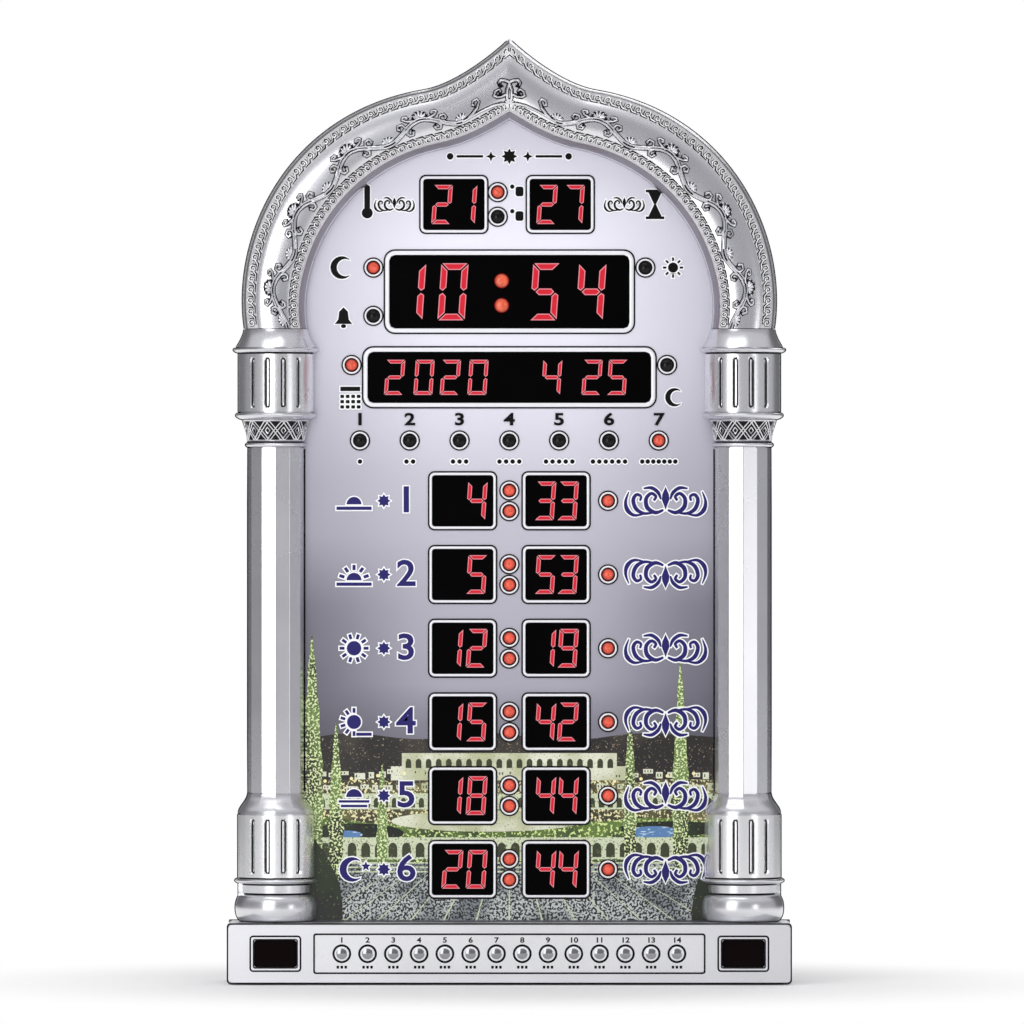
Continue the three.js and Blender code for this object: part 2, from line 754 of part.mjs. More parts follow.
function mainBoard() {
  const lampReach = calendarLampX + lampRadius + boardMargin;
  const halfWidth = Math.max(boardPostX + 2 * boardPostRadius, lampReach);
  const topHalfWidth = temperatureWindowInset + smallWindowWidth + boardMargin;
  const bottom = rowY(rowCount) - smallWindowHeight / 2 - boardMargin;
  const shoulder = clockWindowY + clockWindowHeight / 2;
  const top = topWindowY + smallWindowHeight / 2 + boardMargin;
  const outline = new THREE.Shape([
    new THREE.Vector2(-halfWidth, bottom),
    new THREE.Vector2(halfWidth, bottom),
    new THREE.Vector2(halfWidth, shoulder),
    new THREE.Vector2(topHalfWidth, top),
    new THREE.Vector2(-topHalfWidth, top),
    new THREE.Vector2(-halfWidth, shoulder),
  ]);
  const root = boardBack + boardThickness / 2;
  const tip = panelFront + lampProud;
  const domeFoot = tip - lampDomeHeight;
  const profile = [
    [0, root],
    [lampRadius, root],
    [lampRadius, domeFoot],
    [lampRadius * lampShoulderShare, domeFoot + lampDomeHeight * lampShoulderShare],
    [0, tip],
  ];
  const lamps = lampPlaces.map((place) => turned(profile, place, lampSides));
  const holes = boardPostPlaces.map((place) =>
    disc(boardScrewHoleRadius, place, boardBack - overrun, boardFront + overrun, screwSides),
  );
  return cutFrom(joined([slab(outline, boardBack, boardFront), ...lamps]), holes);
}

// A display module: a block on the board whose front shows in its window
function displayModule({ x, y, width, height, corner, rim }) {
  const inset = rim + moduleGap;
  const outline = rectangle(width - 2 * inset, height - 2 * inset, corner - inset, x, y);
  return slab(outline, boardFront + seatGap, panelFront - moduleRecess);
}

// Button strip, buttons and their board

const buttonPlaces = Array.from({ length: buttonCount }, (_, button) => ({
  x: (button - (buttonCount - 1) / 2) * buttonPitch,
  y: buttonY,
}));

function buttonStrip() {
  const radius = buttonRadius + slideGap;
  const [back, front] = [stripBack - overrun, stripFront + overrun];
  const holes = buttonPlaces.map((place) => disc(radius, place, back, front, buttonSides));
  const outline = rectangle(stripWidth, stripHeight, stripCorner, 0, buttonY);
  return cutFrom(slab(outline, stripBack, stripFront), holes);
}

function button(place) {
  const top = baseDepth + buttonProud;
  const profile = [
    [0, buttonFlangeBack],
    [buttonFlangeRadius, buttonFlangeBack],
    [buttonFlangeRadius, buttonFlangeFront],
    [buttonRadius, buttonFlangeFront],
    [buttonRadius, top - buttonDomeHeight],
    [buttonRadius * buttonFlatShare, top],
    [0, top],
  ];
  return turned(profile, place, buttonSides);
}

function buttonBoard() {
  const plate = rectangle(buttonBoardWidth, buttonBoardHeight, 0, 0, buttonY);
  const root = buttonBoardFront - buttonBoardThickness / 2;
  const switches = buttonPlaces.flatMap((place) => [
    slab(rectangle(switchSize, switchSize, 0, place.x, place.y), root, buttonBoardFront + switchHeight),
    disc(plungerRadius, place, root, plungerTop, screwSides),
  ]);
  return joined([slab(plate, buttonBoardBack, buttonBoardFront), ...switches]);
}

// Sensor panes and what they cover

function sensorPane(side) {
  return joined([
    slab(sensorOutline(side, -seatGap), paneFlangeBack, paneFront),
    slab(sensorOutline(side, sensorFlangeWidth - seatGap), paneFlangeBack, paneFlangeFront),
  ]);
}

function infraredReceiver() {
  const place = sensorPlace(-1);
  const back = buttonBoardFront + seatGap;
  const front = back + receiverThickness;
  const lens = [
    [0, back],
    [receiverLensRadius, back],
    [receiverLensRadius, front],
    [receiverLensRadius * lampShoulderShare, front + receiverLensHeight * lampShoulderShare],
    [0, front + receiverLensHeight],
  ];
  return joined([
    slab(rectangle(receiverWidth, receiverHeight, 0, place.x, place.y), back, front),
    turned(lens, place, roundSides),
  ]);
}

function lightSensor() {
  const back = buttonBoardFront + seatGap;
  return disc(photocellRadius, sensorPlace(1), back, back + photocellHeight);
}

// Rear cover: a shallow tray that follows the outline of the front

const coverScrewPlaces = [
  ...sides.map(archScrewPlace),
  ...sides.flatMap((side) => columnScrewHeights.map((y) => ({ x: side * columnAxisX, y }))),
  ...baseScrewPlaces,
];

// The outline from the base to the apex, moved in by an inset
function coverOutline(inset) {
  const at = (x, y) => new THREE.Vector2(x - inset, y);
  const right = [
    at(baseWidth / 2, inset),
    at(baseWidth / 2, baseHeight - inset),
    at(columnAxisX + lowerDrumRadius, baseHeight - inset),
    at(columnAxisX + lowerDrumRadius, lowerDrumTop),
    at(columnAxisX + shaftRadius, shaftBottom),
    at(columnAxisX + shaftRadius, astragalTop),
    at(columnAxisX + upperDrumRadius, upperDrumBottom),
    at(columnAxisX + upperDrumRadius, upperDrumTop),
    ...archLine(inset / archBand),
  ];
  const left = right.slice(0, -1).map(({ x, y }) => new THREE.Vector2(-x, y));
  return new THREE.Shape([...right, ...left.reverse()]);
}

// A keyhole is a round entry for a screw's head with a narrow slot above it
const keyholeY = alongRise(keyholeShare);

function keyholeOutline(side) {
  const shoulder = Math.acos(keyholeSlotRadius / keyholeEntryRadius);
  const shape = new THREE.Shape();
  shape.absarc(side * keyholeX, keyholeY, keyholeEntryRadius, Math.PI - shoulder, Math.PI * 2 + shoulder);
  shape.absarc(side * keyholeX, keyholeY + keyholeSlotLength, keyholeSlotRadius, 0, Math.PI);
  return shape;
}

function keyholePocket(side, growth, back, front) {
  const width = 2 * (keyholeEntryRadius + growth);
  const middle = keyholeY + keyholeSlotLength / 2;
  const outline = rectangle(width, keyholeSlotLength + width, 0, side * keyholeX, middle);
  return slab(outline, back, front);
}

const speakerPlace = { x: 0, y: alongColumn(speakerShare) };

function grilleSlots() {
  const pitch = (2 * grilleRadius) / (grilleSlotCount + 1);
  return Array.from({ length: grilleSlotCount }, (_, slot) => {
    const x = (slot - (grilleSlotCount - 1) / 2) * pitch;
    const length = 2 * Math.sqrt(grilleRadius ** 2 - x ** 2);
    const outline = rectangle(grilleSlotWidth, length, grilleSlotWidth / 2, x, speakerPlace.y);
    return slab(outline, -overrun, rearWall + overrun);
  });
}

function rearCover() {
  const shell = cutFrom(slab(coverOutline(0), 0, rearRimDepth), [
    slab(coverOutline(wall), rearWall, rearRimDepth + overrun),
  ]);
  const root = rearWall / 2;
  const ringFront = rearWall + speakerRingHeight;
  const ringRadius = speakerRadius + seatGap;
  const ring = cutFrom(disc(ringRadius + wall, speakerPlace, root, ringFront, 2 * cavitySteps), [
    disc(ringRadius, speakerPlace, rearWall, ringFront + overrun, 2 * cavitySteps),
  ]);
  const bosses = coverScrewPlaces.map((place) => disc(rearBossRadius, place, root, bossSplit - seatGap));
  const pocketMargin = keyholePocketMargin + keyholePocketWall;
  const pocketFront = rearWall + keyholePocketDepth;
  const pockets = sides.map((side) =>
    keyholePocket(side, pocketMargin, root, pocketFront + keyholePocketWall),
  );
  return cutFrom(joined([shell, ring, ...bosses, ...pockets]), [
    ...coverScrewPlaces.flatMap((place) => [
      disc(headRecessRadius, place, -overrun, headRecessDepth),
      disc(coverScrewHoleRadius, place, 0, bossSplit + overrun, screwSides),
    ]),
    ...sides.map((side) => keyholePocket(side, keyholePocketMargin, rearWall, pocketFront)),
    ...sides.map((side) => slab(keyholeOutline(side), -overrun, rearWall + overrun, roundSides)),
    ...grilleSlots(),
    jackHole(),
  ]);
}

// Power jack: lies across the rear cover with its nose in the side wall

const jackFace = columnAxisX + shaftRadius;
const jackY = alongColumn(jackShare);
const jackDepth = rearWall + seatGap + jackBodyWidth / 2;

// A round bar from left to right at the jack's height
function jackBar(radius, left, right) {
  const bar = new THREE.CylinderGeometry(radius, radius, right - left, roundSides);
  return solidOf(bar.rotateZ(Math.PI / 2).translate((left + right) / 2, jackY, jackDepth));
}

const jackHole = () => jackBar(jackNoseRadius + seatGap, jackFace - wall - overrun, jackFace + overrun);

function powerJack() {
  const right = jackFace - jackNoseLength - seatGap;
  const left = right - jackBodyLength;
  const block = rectangle(jackBodyLength, jackBodyWidth, 0, (left + right) / 2, jackY);
  const body = joined([
    slab(block, jackDepth - jackBodyWidth / 2, jackDepth + jackBodyWidth / 2),
    jackBar(jackNoseRadius, right - overrun, jackFace),
  ]);
  const boreEnd = jackFace - jackBoreDepth;
  const bored = cutFrom(body, [jackBar(jackBoreRadius, boreEnd, jackFace + overrun)]);
  return joined([bored, jackBar(jackPinRadius, boreEnd - overrun, jackFace - jackPinRecess)]);
}

// Speaker: faces the grille, with its magnet towards the main board
function speaker() {
  const face = rearWall + seatGap;
  const flange = face + speakerFlange;
  const basket = flange + basketDepth;
  const profile = [
    [0, face],
    [speakerRadius, face],
    [speakerRadius, flange],
    [basketRadius, flange],
    [magnetRadius, basket],
    [magnetRadius, basket + magnetDepth],
    [0, basket + magnetDepth],
  ];
  return turned(profile, speakerPlace, 2 * cavitySteps);
}

// Back-up cell and its holder, behind the main board

const cellPlace = { x: cellX, y: alongColumn(cellShare) };
const cellFront = boardBack - seatGap - holderFloor - seatGap;

function cellHolder() {
  const back = cellFront - cellThickness;
  const block = rectangle(holderSize, holderSize, 0, cellPlace.x, cellPlace.y);
  return cutFrom(slab(block, back, boardBack - seatGap), [
    disc(cellRadius + seatGap, cellPlace, back - overrun, cellFront + seatGap, 2 * cavitySteps),
  ]);
}

const coinCell = () => disc(cellRadius, cellPlace, cellFront - cellThickness, cellFront, 2 * cavitySteps);

// A slotted screw, driven from the rear
function screw(place, headBack, headRadius, headHeight, shankRadius, length) {
  const headFront = headBack + headHeight;
  const profile = [
    [0, headBack],
    [headRadius, headBack],
    [headRadius, headFront],
    [shankRadius, headFront],
    [shankRadius, headFront + length],
    [0, headFront + length],
  ];
  const slot = rectangle(2 * headRadius + overrun, driveSlotWidth, 0, place.x, place.y);
  return cutFrom(turned(profile, place, screwSides), [
    slab(slot, headBack - overrun, headBack + driveSlotDepth),
  ]);
}

const coverScrew = (place) =>
  screw(
    place,
    coverScrewBack,
    coverScrewHeadRadius,
    coverScrewHeadHeight,
    coverScrewRadius,
    coverScrewLength,
  );

const boardScrew = (place) =>
  screw(
    place,
    boardBack - seatGap - boardScrewHeadHeight,
    boardScrewHeadRadius,
    boardScrewHeadHeight,
    boardScrewRadius,
    boardScrewLength,
  );

// Assembly

const clock = new THREE.Group();
const add = (name, body, material) => clock.add(meshOf(name, body, material));
const addEach = (name, places, make, material) =>
  places.forEach((place, index) =>
    add(`${name}_${String(index + 1).padStart(2, "0")}`, make(place), material),
  );

add("arch_frame", archFrame(), silver);
const columnBody = column();
for (const [name, side] of [["column_left", -1], ["column_right", 1]]) {
  const mesh = meshOf(name, columnBody, silver);
  mesh.position.x = side * columnAxisX;
  mesh.scale.x = side;
  clock.add(mesh);
}
add("base_housing", baseHousing(), silver);
add("face_panel", facePanel(), faceFilm);
add("rear_cover", rearCover(), darkPlastic);
add("button_strip", buttonStrip(), silver);
addEach("button", buttonPlaces, button, silver);
add("button_board", buttonBoard(), boardGreen);
add("receiver_window", sensorPane(-1), smokedRed);
add("light_sensor_window", sensorPane(1), smokedRed);
add("infrared_receiver", infraredReceiver(), darkPlastic);
add("light_sensor", lightSensor(), darkPlastic);
add("main_board", mainBoard(), boardGreen);
displayWindows.forEach((window) => add(window.name, displayModule(window), displayBlack));
addEach("board_screw", boardPostPlaces, boardScrew, steel);
addEach("cover_screw", coverScrewPlaces, coverScrew, steel);
add("speaker", speaker(), darkPlastic);
add("power_jack", powerJack(), darkPlastic);
add("cell_holder", cellHolder(), darkPlastic);
add("coin_cell", coinCell(), steel);

clock.rotation.x = Math.PI / 2;
clock.position.y = totalDepth / 2;

export default clock;
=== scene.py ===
import itertools
import math
import random

import bmesh
import bpy
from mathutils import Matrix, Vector


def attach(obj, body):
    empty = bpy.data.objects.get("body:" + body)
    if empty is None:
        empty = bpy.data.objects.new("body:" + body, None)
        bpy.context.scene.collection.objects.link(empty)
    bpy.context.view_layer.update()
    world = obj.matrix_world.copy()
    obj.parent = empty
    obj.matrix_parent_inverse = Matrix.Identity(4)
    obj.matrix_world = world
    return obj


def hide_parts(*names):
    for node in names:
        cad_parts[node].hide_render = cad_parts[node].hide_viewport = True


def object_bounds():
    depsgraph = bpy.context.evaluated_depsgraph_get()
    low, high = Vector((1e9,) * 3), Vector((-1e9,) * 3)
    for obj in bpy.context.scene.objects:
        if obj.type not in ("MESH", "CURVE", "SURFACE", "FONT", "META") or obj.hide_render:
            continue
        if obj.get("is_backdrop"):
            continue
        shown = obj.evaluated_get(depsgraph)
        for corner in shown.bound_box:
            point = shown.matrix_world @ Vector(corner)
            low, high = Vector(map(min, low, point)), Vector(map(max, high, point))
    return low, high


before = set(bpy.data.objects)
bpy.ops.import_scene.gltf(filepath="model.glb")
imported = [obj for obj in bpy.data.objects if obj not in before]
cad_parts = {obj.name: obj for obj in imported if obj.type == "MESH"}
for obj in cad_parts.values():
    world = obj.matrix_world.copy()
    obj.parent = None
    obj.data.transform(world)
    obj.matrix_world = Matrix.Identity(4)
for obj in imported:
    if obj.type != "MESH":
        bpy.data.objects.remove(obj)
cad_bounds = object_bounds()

# Rear cover
# A shallow tub moulded in dark grey ABS with a spark-eroded texture, with keyhole hangers, a speaker
# grille and screw recesses. Everything else is fixed to it or clamped against its rim.

MM = 0.001
REAR_FACE_Y = 25.8  # millimetres; the rear face of the cover, from which depths are counted forward


def at(x, height, depth):
    """A point seen from the front: x to the right, height above the table, depth from the rear face."""
    return Vector((x, REAR_FACE_Y - depth, height)) * MM


def tint(red, green, blue):
    """A colour as it is seen on a screen, 0 to 255, made linear for a shader."""
    channels = [level / 255 for level in (red, green, blue)]
    return (*(c / 12.92 if c < 0.04045 else ((c + 0.055) / 1.055) ** 2.4 for c in channels), 1)


def feed(tree, target, inputs):
    """Gives each of a node's inputs a plain value or another node's output."""
    for key, value in inputs.items():
        if isinstance(value, bpy.types.NodeSocket):
            tree.links.new(value, target.inputs[key])
        else:
            target.inputs[key].default_value = value


def node(tree, kind, inputs, **settings):
    made = tree.nodes.new("ShaderNode" + kind)
    for key, value in settings.items():
        setattr(made, key, value)
    feed(tree, made, inputs)
    return made


def noise(tree, coords, scale, detail=2.0):
    return node(tree, "TexNoise", {"Vector": coords, "Scale": scale, "Detail": detail}).outputs["Fac"]


def mixed(tree, share, first, second):
    """A colour between two colours, by a share from a number or a texture."""
    return node(tree, "Mix", {0: share, 6: first, 7: second}, data_type="RGBA").outputs[2]


def stepped(tree, value, low, high):
    """Nought below low, one above high, and smooth between."""
    limits = {"Value": value, "From Min": low, "From Max": high}
    return node(tree, "MapRange", limits, interpolation_type="SMOOTHSTEP").outputs["Result"]


def uneven(tree, cloud, gloss, least, most):
    """A roughness that drifts between two shares of itself."""
    limits = {"Value": cloud, "To Min": gloss * least, "To Max": gloss * most}
    return node(tree, "MapRange", limits).outputs["Result"]


def bumped(tree, height, strength, depth):
    """A surface normal from a relief of a depth in millimetres."""
    relief = {"Height": height, "Strength": strength, "Distance": depth * MM}
    return node(tree, "Bump", relief).outputs["Normal"]


def toned(colour, share):
    return tuple(c * share for c in colour[:3]) + (1,)


def new_finish(name):
    material = bpy.data.materials.new(name)
    material.use_nodes = True
    tree = material.node_tree
    coords = node(tree, "TexCoord", {}).outputs["Object"]
    return material, tree, tree.nodes["Principled BSDF"], coords


def moulded(
    name, colour, roughness, metallic=0.0, mottle=0.06, mottle_scale=45, grain=0.25, grain_scale=1800,
    gleam=0.5,
):
    """A moulded, plated or painted surface: cloudy colour, uneven gloss and a fine grain in relief."""
    material, tree, shader, coords = new_finish(name)
    cloud = noise(tree, coords, mottle_scale, 4.0)
    feed(tree, shader, {
        "Base Color": mixed(tree, cloud, toned(colour, 1 - mottle), toned(colour, 1 + mottle)),
        "Roughness": uneven(tree, cloud, roughness, 0.85, 1.2),
        "Normal": bumped(tree, noise(tree, coords, grain_scale), grain, 0.06),
        "Metallic": metallic,
        "Specular IOR Level": gleam,
    })
    return material


def dress(material, *names):
    """Gives CAD nodes a finish."""
    for name in names:
        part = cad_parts[name]
        if not part.material_slots:
            part.data.materials.append(material)
        for slot in part.material_slots:
            slot.material = material


dress(moulded("cover_dark_grey_abs", tint(66, 66, 69), 0.55, grain=0.8, grain_scale=1400), "rear_cover")

# Speaker, power jack and back-up cell
# The speaker has a black paper cone in a pressed basket behind the grille; the jack is a black nylon
# body in the side wall; the cell is nickel-plated steel in a nylon holder on the main board.

dress(moulded("speaker_black_paper", tint(34, 33, 34), 0.75, grain=1.0, grain_scale=900), "speaker")
dress(moulded("jack_black_nylon", tint(28, 28, 30), 0.4), "power_jack")
dress(moulded("holder_white_nylon", tint(206, 203, 196), 0.5), "cell_holder")
dress(moulded("cell_brushed_nickel", tint(186, 186, 184), 0.28, metallic=1.0), "coin_cell")

# Boards, sensors and screws
# Two glass-fibre boards with green solder mask carry the displays, the lamps and the push switches.
# The screws are zinc-plated steel, driven from behind.

mask_look = {"mottle": 0.25, "mottle_scale": 220, "grain_scale": 500}
board_mask = moulded("board_solder_mask", tint(28, 92, 54), 0.35, **mask_look)
zinc_look = {"metallic": 1.0, "mottle": 0.12, "mottle_scale": 300}
screw_zinc = moulded("screw_zinc_plate", tint(176, 176, 180), 0.3, **zinc_look)
cell_ceramic = moulded("photocell_ceramic", tint(214, 178, 128), 0.4, mottle=0.3, mottle_scale=700)
dress(board_mask, "main_board", "button_board")
dress(moulded("sensor_black_resin", tint(30, 27, 32), 0.25), "infrared_receiver")
dress(cell_ceramic, "light_sensor")
dress(screw_zinc, *(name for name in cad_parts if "_screw_" in name))

# Display modules
# Sixteen seven-segment modules: black-faced blocks soldered to the main board, whose lit segments are
# red epoxy bars with a paler edge where the light leaves the mould.

MODULE_FRONT = 27.5
SEGMENT_RISE = 0.08
HAIR = 0.003  # between the fronts of neighbours, so that none are level
SLANT = 0.07  # sideways lean of the digits for each millimetre of height
SEGMENTS = {
    "0": "abcdef", "1": "bc", "2": "abged", "3": "abgcd", "4": "fgbc",
    "5": "afgcd", "6": "afgedc", "7": "abc", "8": "abcdefg", "9": "abcdfg",
}
ROW_TIMES = [(" 4", "33"), (" 5", "53"), ("12", "19"), ("15", "42"), ("18", "44"), ("20", "44")]
ROW_HEIGHTS = [219.4 - 33.6 * row for row in range(6)]
TOP_HEIGHT, CLOCK_HEIGHT, DATE_HEIGHT = 354.5, 314.7, 275.7


def segment_outlines(left, low, width, height, bar, lit):
    """The outlines of a digit's lit bars, mitred at its corners, as (x, height) pairs."""
    gap = bar * 0.16
    high, middle, right = low + height, low + height / 2, left + width
    near, far = left + bar + gap, right - bar - gap
    across = [(left + gap, high), (right - gap, high), (far, high - bar), (near, high - bar)]
    down = [
        (left, high - gap), (left + bar, high - bar - gap), (left + bar, middle + bar / 2 + gap),
        (left + bar / 2, middle + gap), (left, middle + bar / 2),
    ]
    waist = [
        (left + bar / 2 + gap, middle), (near, middle + bar / 2), (far, middle + bar / 2),
        (right - bar / 2 - gap, middle), (far, middle - bar / 2), (near, middle - bar / 2),
    ]
    over = lambda points: [(x, 2 * middle - y) for x, y in points]
    aside = lambda points: [(left + right - x, y) for x, y in points]
    bars = {
        "a": across, "d": over(across), "g": waist, "f": down,
        "b": aside(down), "e": over(down), "c": over(aside(down)),
    }
    return [[(x + SLANT * (y - middle), y) for x, y in bars[name]] for name in lit]


def winding(painted_shadow):
    """1 for an outline drawn anticlockwise, and -1 for one drawn clockwise."""
    turn = sum(a[0] * b[1] - b[0] * a[1] for a, b in zip(painted_shadow, painted_shadow[1:] + painted_shadow[:1]))
    return math.copysign(1, turn)


def shrunk(painted_shadow, inset):
    """A convex outline with every side moved in."""
    way = winding(painted_shadow)
    lines = []
    for (ax, ay), (bx, by) in zip(painted_shadow, painted_shadow[1:] + painted_shadow[:1]):
        length = math.hypot(bx - ax, by - ay)
        nx, ny = -(by - ay) / length * way, (bx - ax) / length * way
        lines.append((nx, ny, nx * ax + ny * ay + inset))
    points = []
    for side in range(len(painted_shadow)):
        (a, b, c), (d, e, f) = lines[side - 1], lines[side]
        cross = a * e - b * d
        points.append(((c * e - b * f) / cross, (a * f - c * d) / cross))
    return points


def selected(*pieces):
    """Selects these pieces alone, with the first one active."""
    bpy.ops.object.select_all(action="DESELECT")
    for piece in pieces:
        piece.select_set(True)
    bpy.context.view_layer.objects.active = pieces[0]
    return pieces[0]


def added(name, data):
    """A new piece in the scene, selected alone."""
    piece = bpy.data.objects.new(name, data)
    bpy.context.collection.objects.link(piece)
    return selected(piece)


def built(name, form):
    """A new piece from a finished form."""
    mesh = bpy.data.meshes.new(name)
    form.to_mesh(mesh)
    form.free()
    return added(name, mesh)


def drawn(name, outlines, back, front):
    """Flat pieces with drawn outlines, between two depths."""
    form = bmesh.new()
    for number, painted_shadow in enumerate(outlines):
        face = form.faces.new([form.verts.new(at(x, y, back)) for x, y in painted_shadow])
        raised = bmesh.ops.extrude_face_region(form, geom=[face], use_keep_orig=True)
        moved = [item for item in raised["geom"] if isinstance(item, bmesh.types.BMVert)]
        rise = at(0, 0, front + HAIR * (number % 7)) - at(0, 0, back)
        bmesh.ops.translate(form, verts=moved, vec=rise)
    bmesh.ops.recalc_face_normals(form, faces=form.faces)
    return built(name, form)


def fit(piece, material, body="root"):
    """Gives a finished piece its finish and its place among the bodies."""
    piece.data.materials.clear()
    piece.data.materials.append(material)
    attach(piece, body)
    return piece


def lit(tree, shader, light, strength, roughness, gleam=0.5):
    """Gives a finish a light of its own, over a darkened body colour."""
    feed(tree, shader, {
        "Base Color": mixed(tree, 0.65, light, (0, 0, 0, 1)),
        "Emission Color": light,
        "Emission Strength": strength,
        "Roughness": roughness,
        "Specular IOR Level": gleam,
    })


def glowing(name, colour, strength):
    """Lit red epoxy: a glossy coloured body that gives its own light, a little unevenly."""
    material, tree, shader, coords = new_finish(name)
    light = mixed(tree, noise(tree, coords, 500.0), toned(colour, 0.78), colour)
    lit(tree, shader, light, strength, 0.3, gleam=0.2)
    return material


def digit_row(text, lefts, low, width, height, bar):
    outlines = []
    for digit, left in zip(text, lefts):
        if digit != " ":
            outlines += segment_outlines(left, low, width, height, bar, SEGMENTS[digit])
    return outlines


display_black = moulded("display_black_face", tint(3, 2, 3), 0.35, mottle=0.3, grain=0.15, gleam=0.03)
dress(display_black, *(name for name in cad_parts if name.endswith("_display")))
segment_red = glowing("segment_lit_red", tint(222, 38, 56), 0.72)
segment_edge = glowing("segment_pale_edge", tint(240, 150, 160), 0.7)

small_digits = digit_row("21", (-35.0, -23.8), TOP_HEIGHT - 8.9, 8.6, 17.8, 1.9)
small_digits += digit_row("27", (12.9, 25.2), TOP_HEIGHT - 8.9, 8.6, 17.8, 1.9)
for (hour, minute), height in zip(ROW_TIMES, ROW_HEIGHTS):
    small_digits += digit_row(hour, (-30.4, -19.3), height - 8.8, 8.8, 17.6, 1.9)
    small_digits += digit_row(minute, (12.0, 22.3), height - 8.8, 8.8, 17.6, 1.9)
date_lefts = (-56.6, -43.2, -31.2, -18.6, 15.0, 33.4, 44.9)
small_digits += digit_row("2020425", date_lefts, DATE_HEIGHT - 8.0, 8.6, 16.0, 1.7)
large_digits = digit_row("1054", (-51.2, -31.9, 10.0, 31.0), CLOCK_HEIGHT - 13, 12.4, 26, 3.0)

segment_top = MODULE_FRONT + SEGMENT_RISE
edges = drawn("segment_edges", small_digits + large_digits, MODULE_FRONT, segment_top)
fit(edges, segment_edge)
cores = [shrunk(painted_shadow, 0.33) for painted_shadow in small_digits]
cores += [shrunk(painted_shadow, 0.42) for painted_shadow in large_digits]
fit(drawn("segment_cores", cores, segment_top, segment_top + SEGMENT_RISE), segment_red)

# Lamps
# Thirty-two 5 mm lamps on the main board, whose diffused epoxy domes stand through holes in the face.
# Two more domes make the colon inside the clock window. The lit ones are orange red, the rest black.

LAMP_RADIUS = 2.8
LAMP_TIP = 30.05
LAMP_FOOT = 25.5
LAMP_SHOULDER = 28.2
colon_lamps = [(0, height + side * 4.7) for height in ROW_HEIGHTS for side in (-1, 1)]
row_lamps = [(45, height) for height in ROW_HEIGHTS]
weekday_lamps = [((day - 3) * 22.7, 246.9) for day in range(7)]
lit_lamps = [
    *colon_lamps, *row_lamps, weekday_lamps[-1],
    (-5.3, TOP_HEIGHT + 5.6), (-62, CLOCK_HEIGHT + 11), (-71.9, DATE_HEIGHT + 5.6),
]
dark_lamps = [
    *weekday_lamps[:-1],
    (-5.3, TOP_HEIGHT - 5.6), (-62, CLOCK_HEIGHT - 11), (62, CLOCK_HEIGHT + 11), (71.9, DATE_HEIGHT + 5.6),
]


def in_place():
    """Moves the active piece's place, turn and size into its mesh."""
    bpy.ops.object.transform_apply(location=True, rotation=True, scale=True)
    return bpy.context.object


def closed(piece, smooth):
    """Leaves edit mode with all faces looking out, and smooth up to an angle."""
    bpy.ops.mesh.select_all(action="SELECT")
    bpy.ops.mesh.normals_make_consistent(inside=False)
    bpy.ops.object.mode_set(mode="OBJECT")
    bpy.ops.object.shade_smooth_by_angle(angle=math.radians(smooth))
    return piece


def stacked(name, sides, x, height, rings):
    """A turned piece on a front-to-back axis, raised ring by ring from (radius, depth) pairs."""
    bpy.ops.object.select_all(action="DESELECT")
    radius, depth = rings[0]
    bpy.ops.mesh.primitive_circle_add(
        vertices=sides, radius=radius * MM, fill_type="NGON",
        location=at(x, height, depth), rotation=(math.pi / 2, 0, 0),
    )
    piece = in_place()
    piece.name = name
    bpy.ops.object.mode_set(mode="EDIT")
    bpy.ops.mesh.select_all(action="SELECT")
    for (old_radius, old_depth), (new_radius, new_depth) in zip(rings, rings[1:]):
        forward = at(0, 0, new_depth) - at(0, 0, old_depth)
        bpy.ops.mesh.extrude_region_move(TRANSFORM_OT_translate={"value": forward})
        scale = new_radius / old_radius
        bpy.ops.transform.resize(value=(scale, 1, scale), center_override=at(x, height, new_depth))
    return closed(piece, 40)


def joined(name, pieces):
    selected(*pieces)
    bpy.ops.object.join()
    pieces[0].name = name
    return pieces[0]


def copied(piece, name, places):
    """Copies of a piece at the origin, each moved to its place, joined as one piece."""
    copies = []
    for x, height in places:
        copy = added(name, piece.data.copy())
        copy.location = at(x, height, 0) - at(0, 0, 0)
        copies.append(copy)
    joined(name, copies[::-1])
    return in_place()


def repeated(piece, *sets):
    """Fits copies of a piece, one set for each (name, places, finish, slot), and takes the piece away; the
    slot is not used.
    """
    for name, places, material, slot in sets:
        fit(copied(piece, name, places), material)
    bpy.data.objects.remove(piece)


def spaced(low, high, count):
    """Even steps from one value to another, with both of them taken in."""
    return [low + (high - low) * k / count for k in range(count + 1)]


def arc(x, y, across, up, low, high, steps):
    """Points round a centre, from one angle to another in degrees."""
    turns = [math.radians(degrees) for degrees in spaced(low, high, steps)]
    return [(x + across * math.cos(turn), y + up * math.sin(turn)) for turn in turns]


def dome_rings(radius, foot, shoulder, tip):
    """Rings of a straight stem with an elliptical dome."""
    dome = arc(0, shoulder, radius, tip - shoulder, 0, 90, 6)[:-1]
    return [(radius, foot), *dome, (radius * 0.09, tip)]


lamp = stacked("lamp", 20, 0, 0, dome_rings(LAMP_RADIUS, LAMP_FOOT, LAMP_SHOULDER, LAMP_TIP))


def lamp_glow(name, middle, rim, low, high):
    """Lit diffused epoxy: hottest in the middle of the dome, which stands furthest forward."""
    material, tree, shader, coords = new_finish(name)
    forward = node(tree, "SeparateXYZ", {"Vector": coords}).outputs["Y"]
    heat = stepped(tree, forward, at(0, 0, low).y, at(0, 0, high).y)
    cloud = stepped(tree, noise(tree, coords, 900.0), 0.35, 0.6)
    hottest = mixed(tree, cloud, tint(*(c * 0.86 for c in middle)), tint(*middle))
    lit(tree, shader, mixed(tree, heat, tint(*rim), hottest), 0.75, 0.2)
    return material


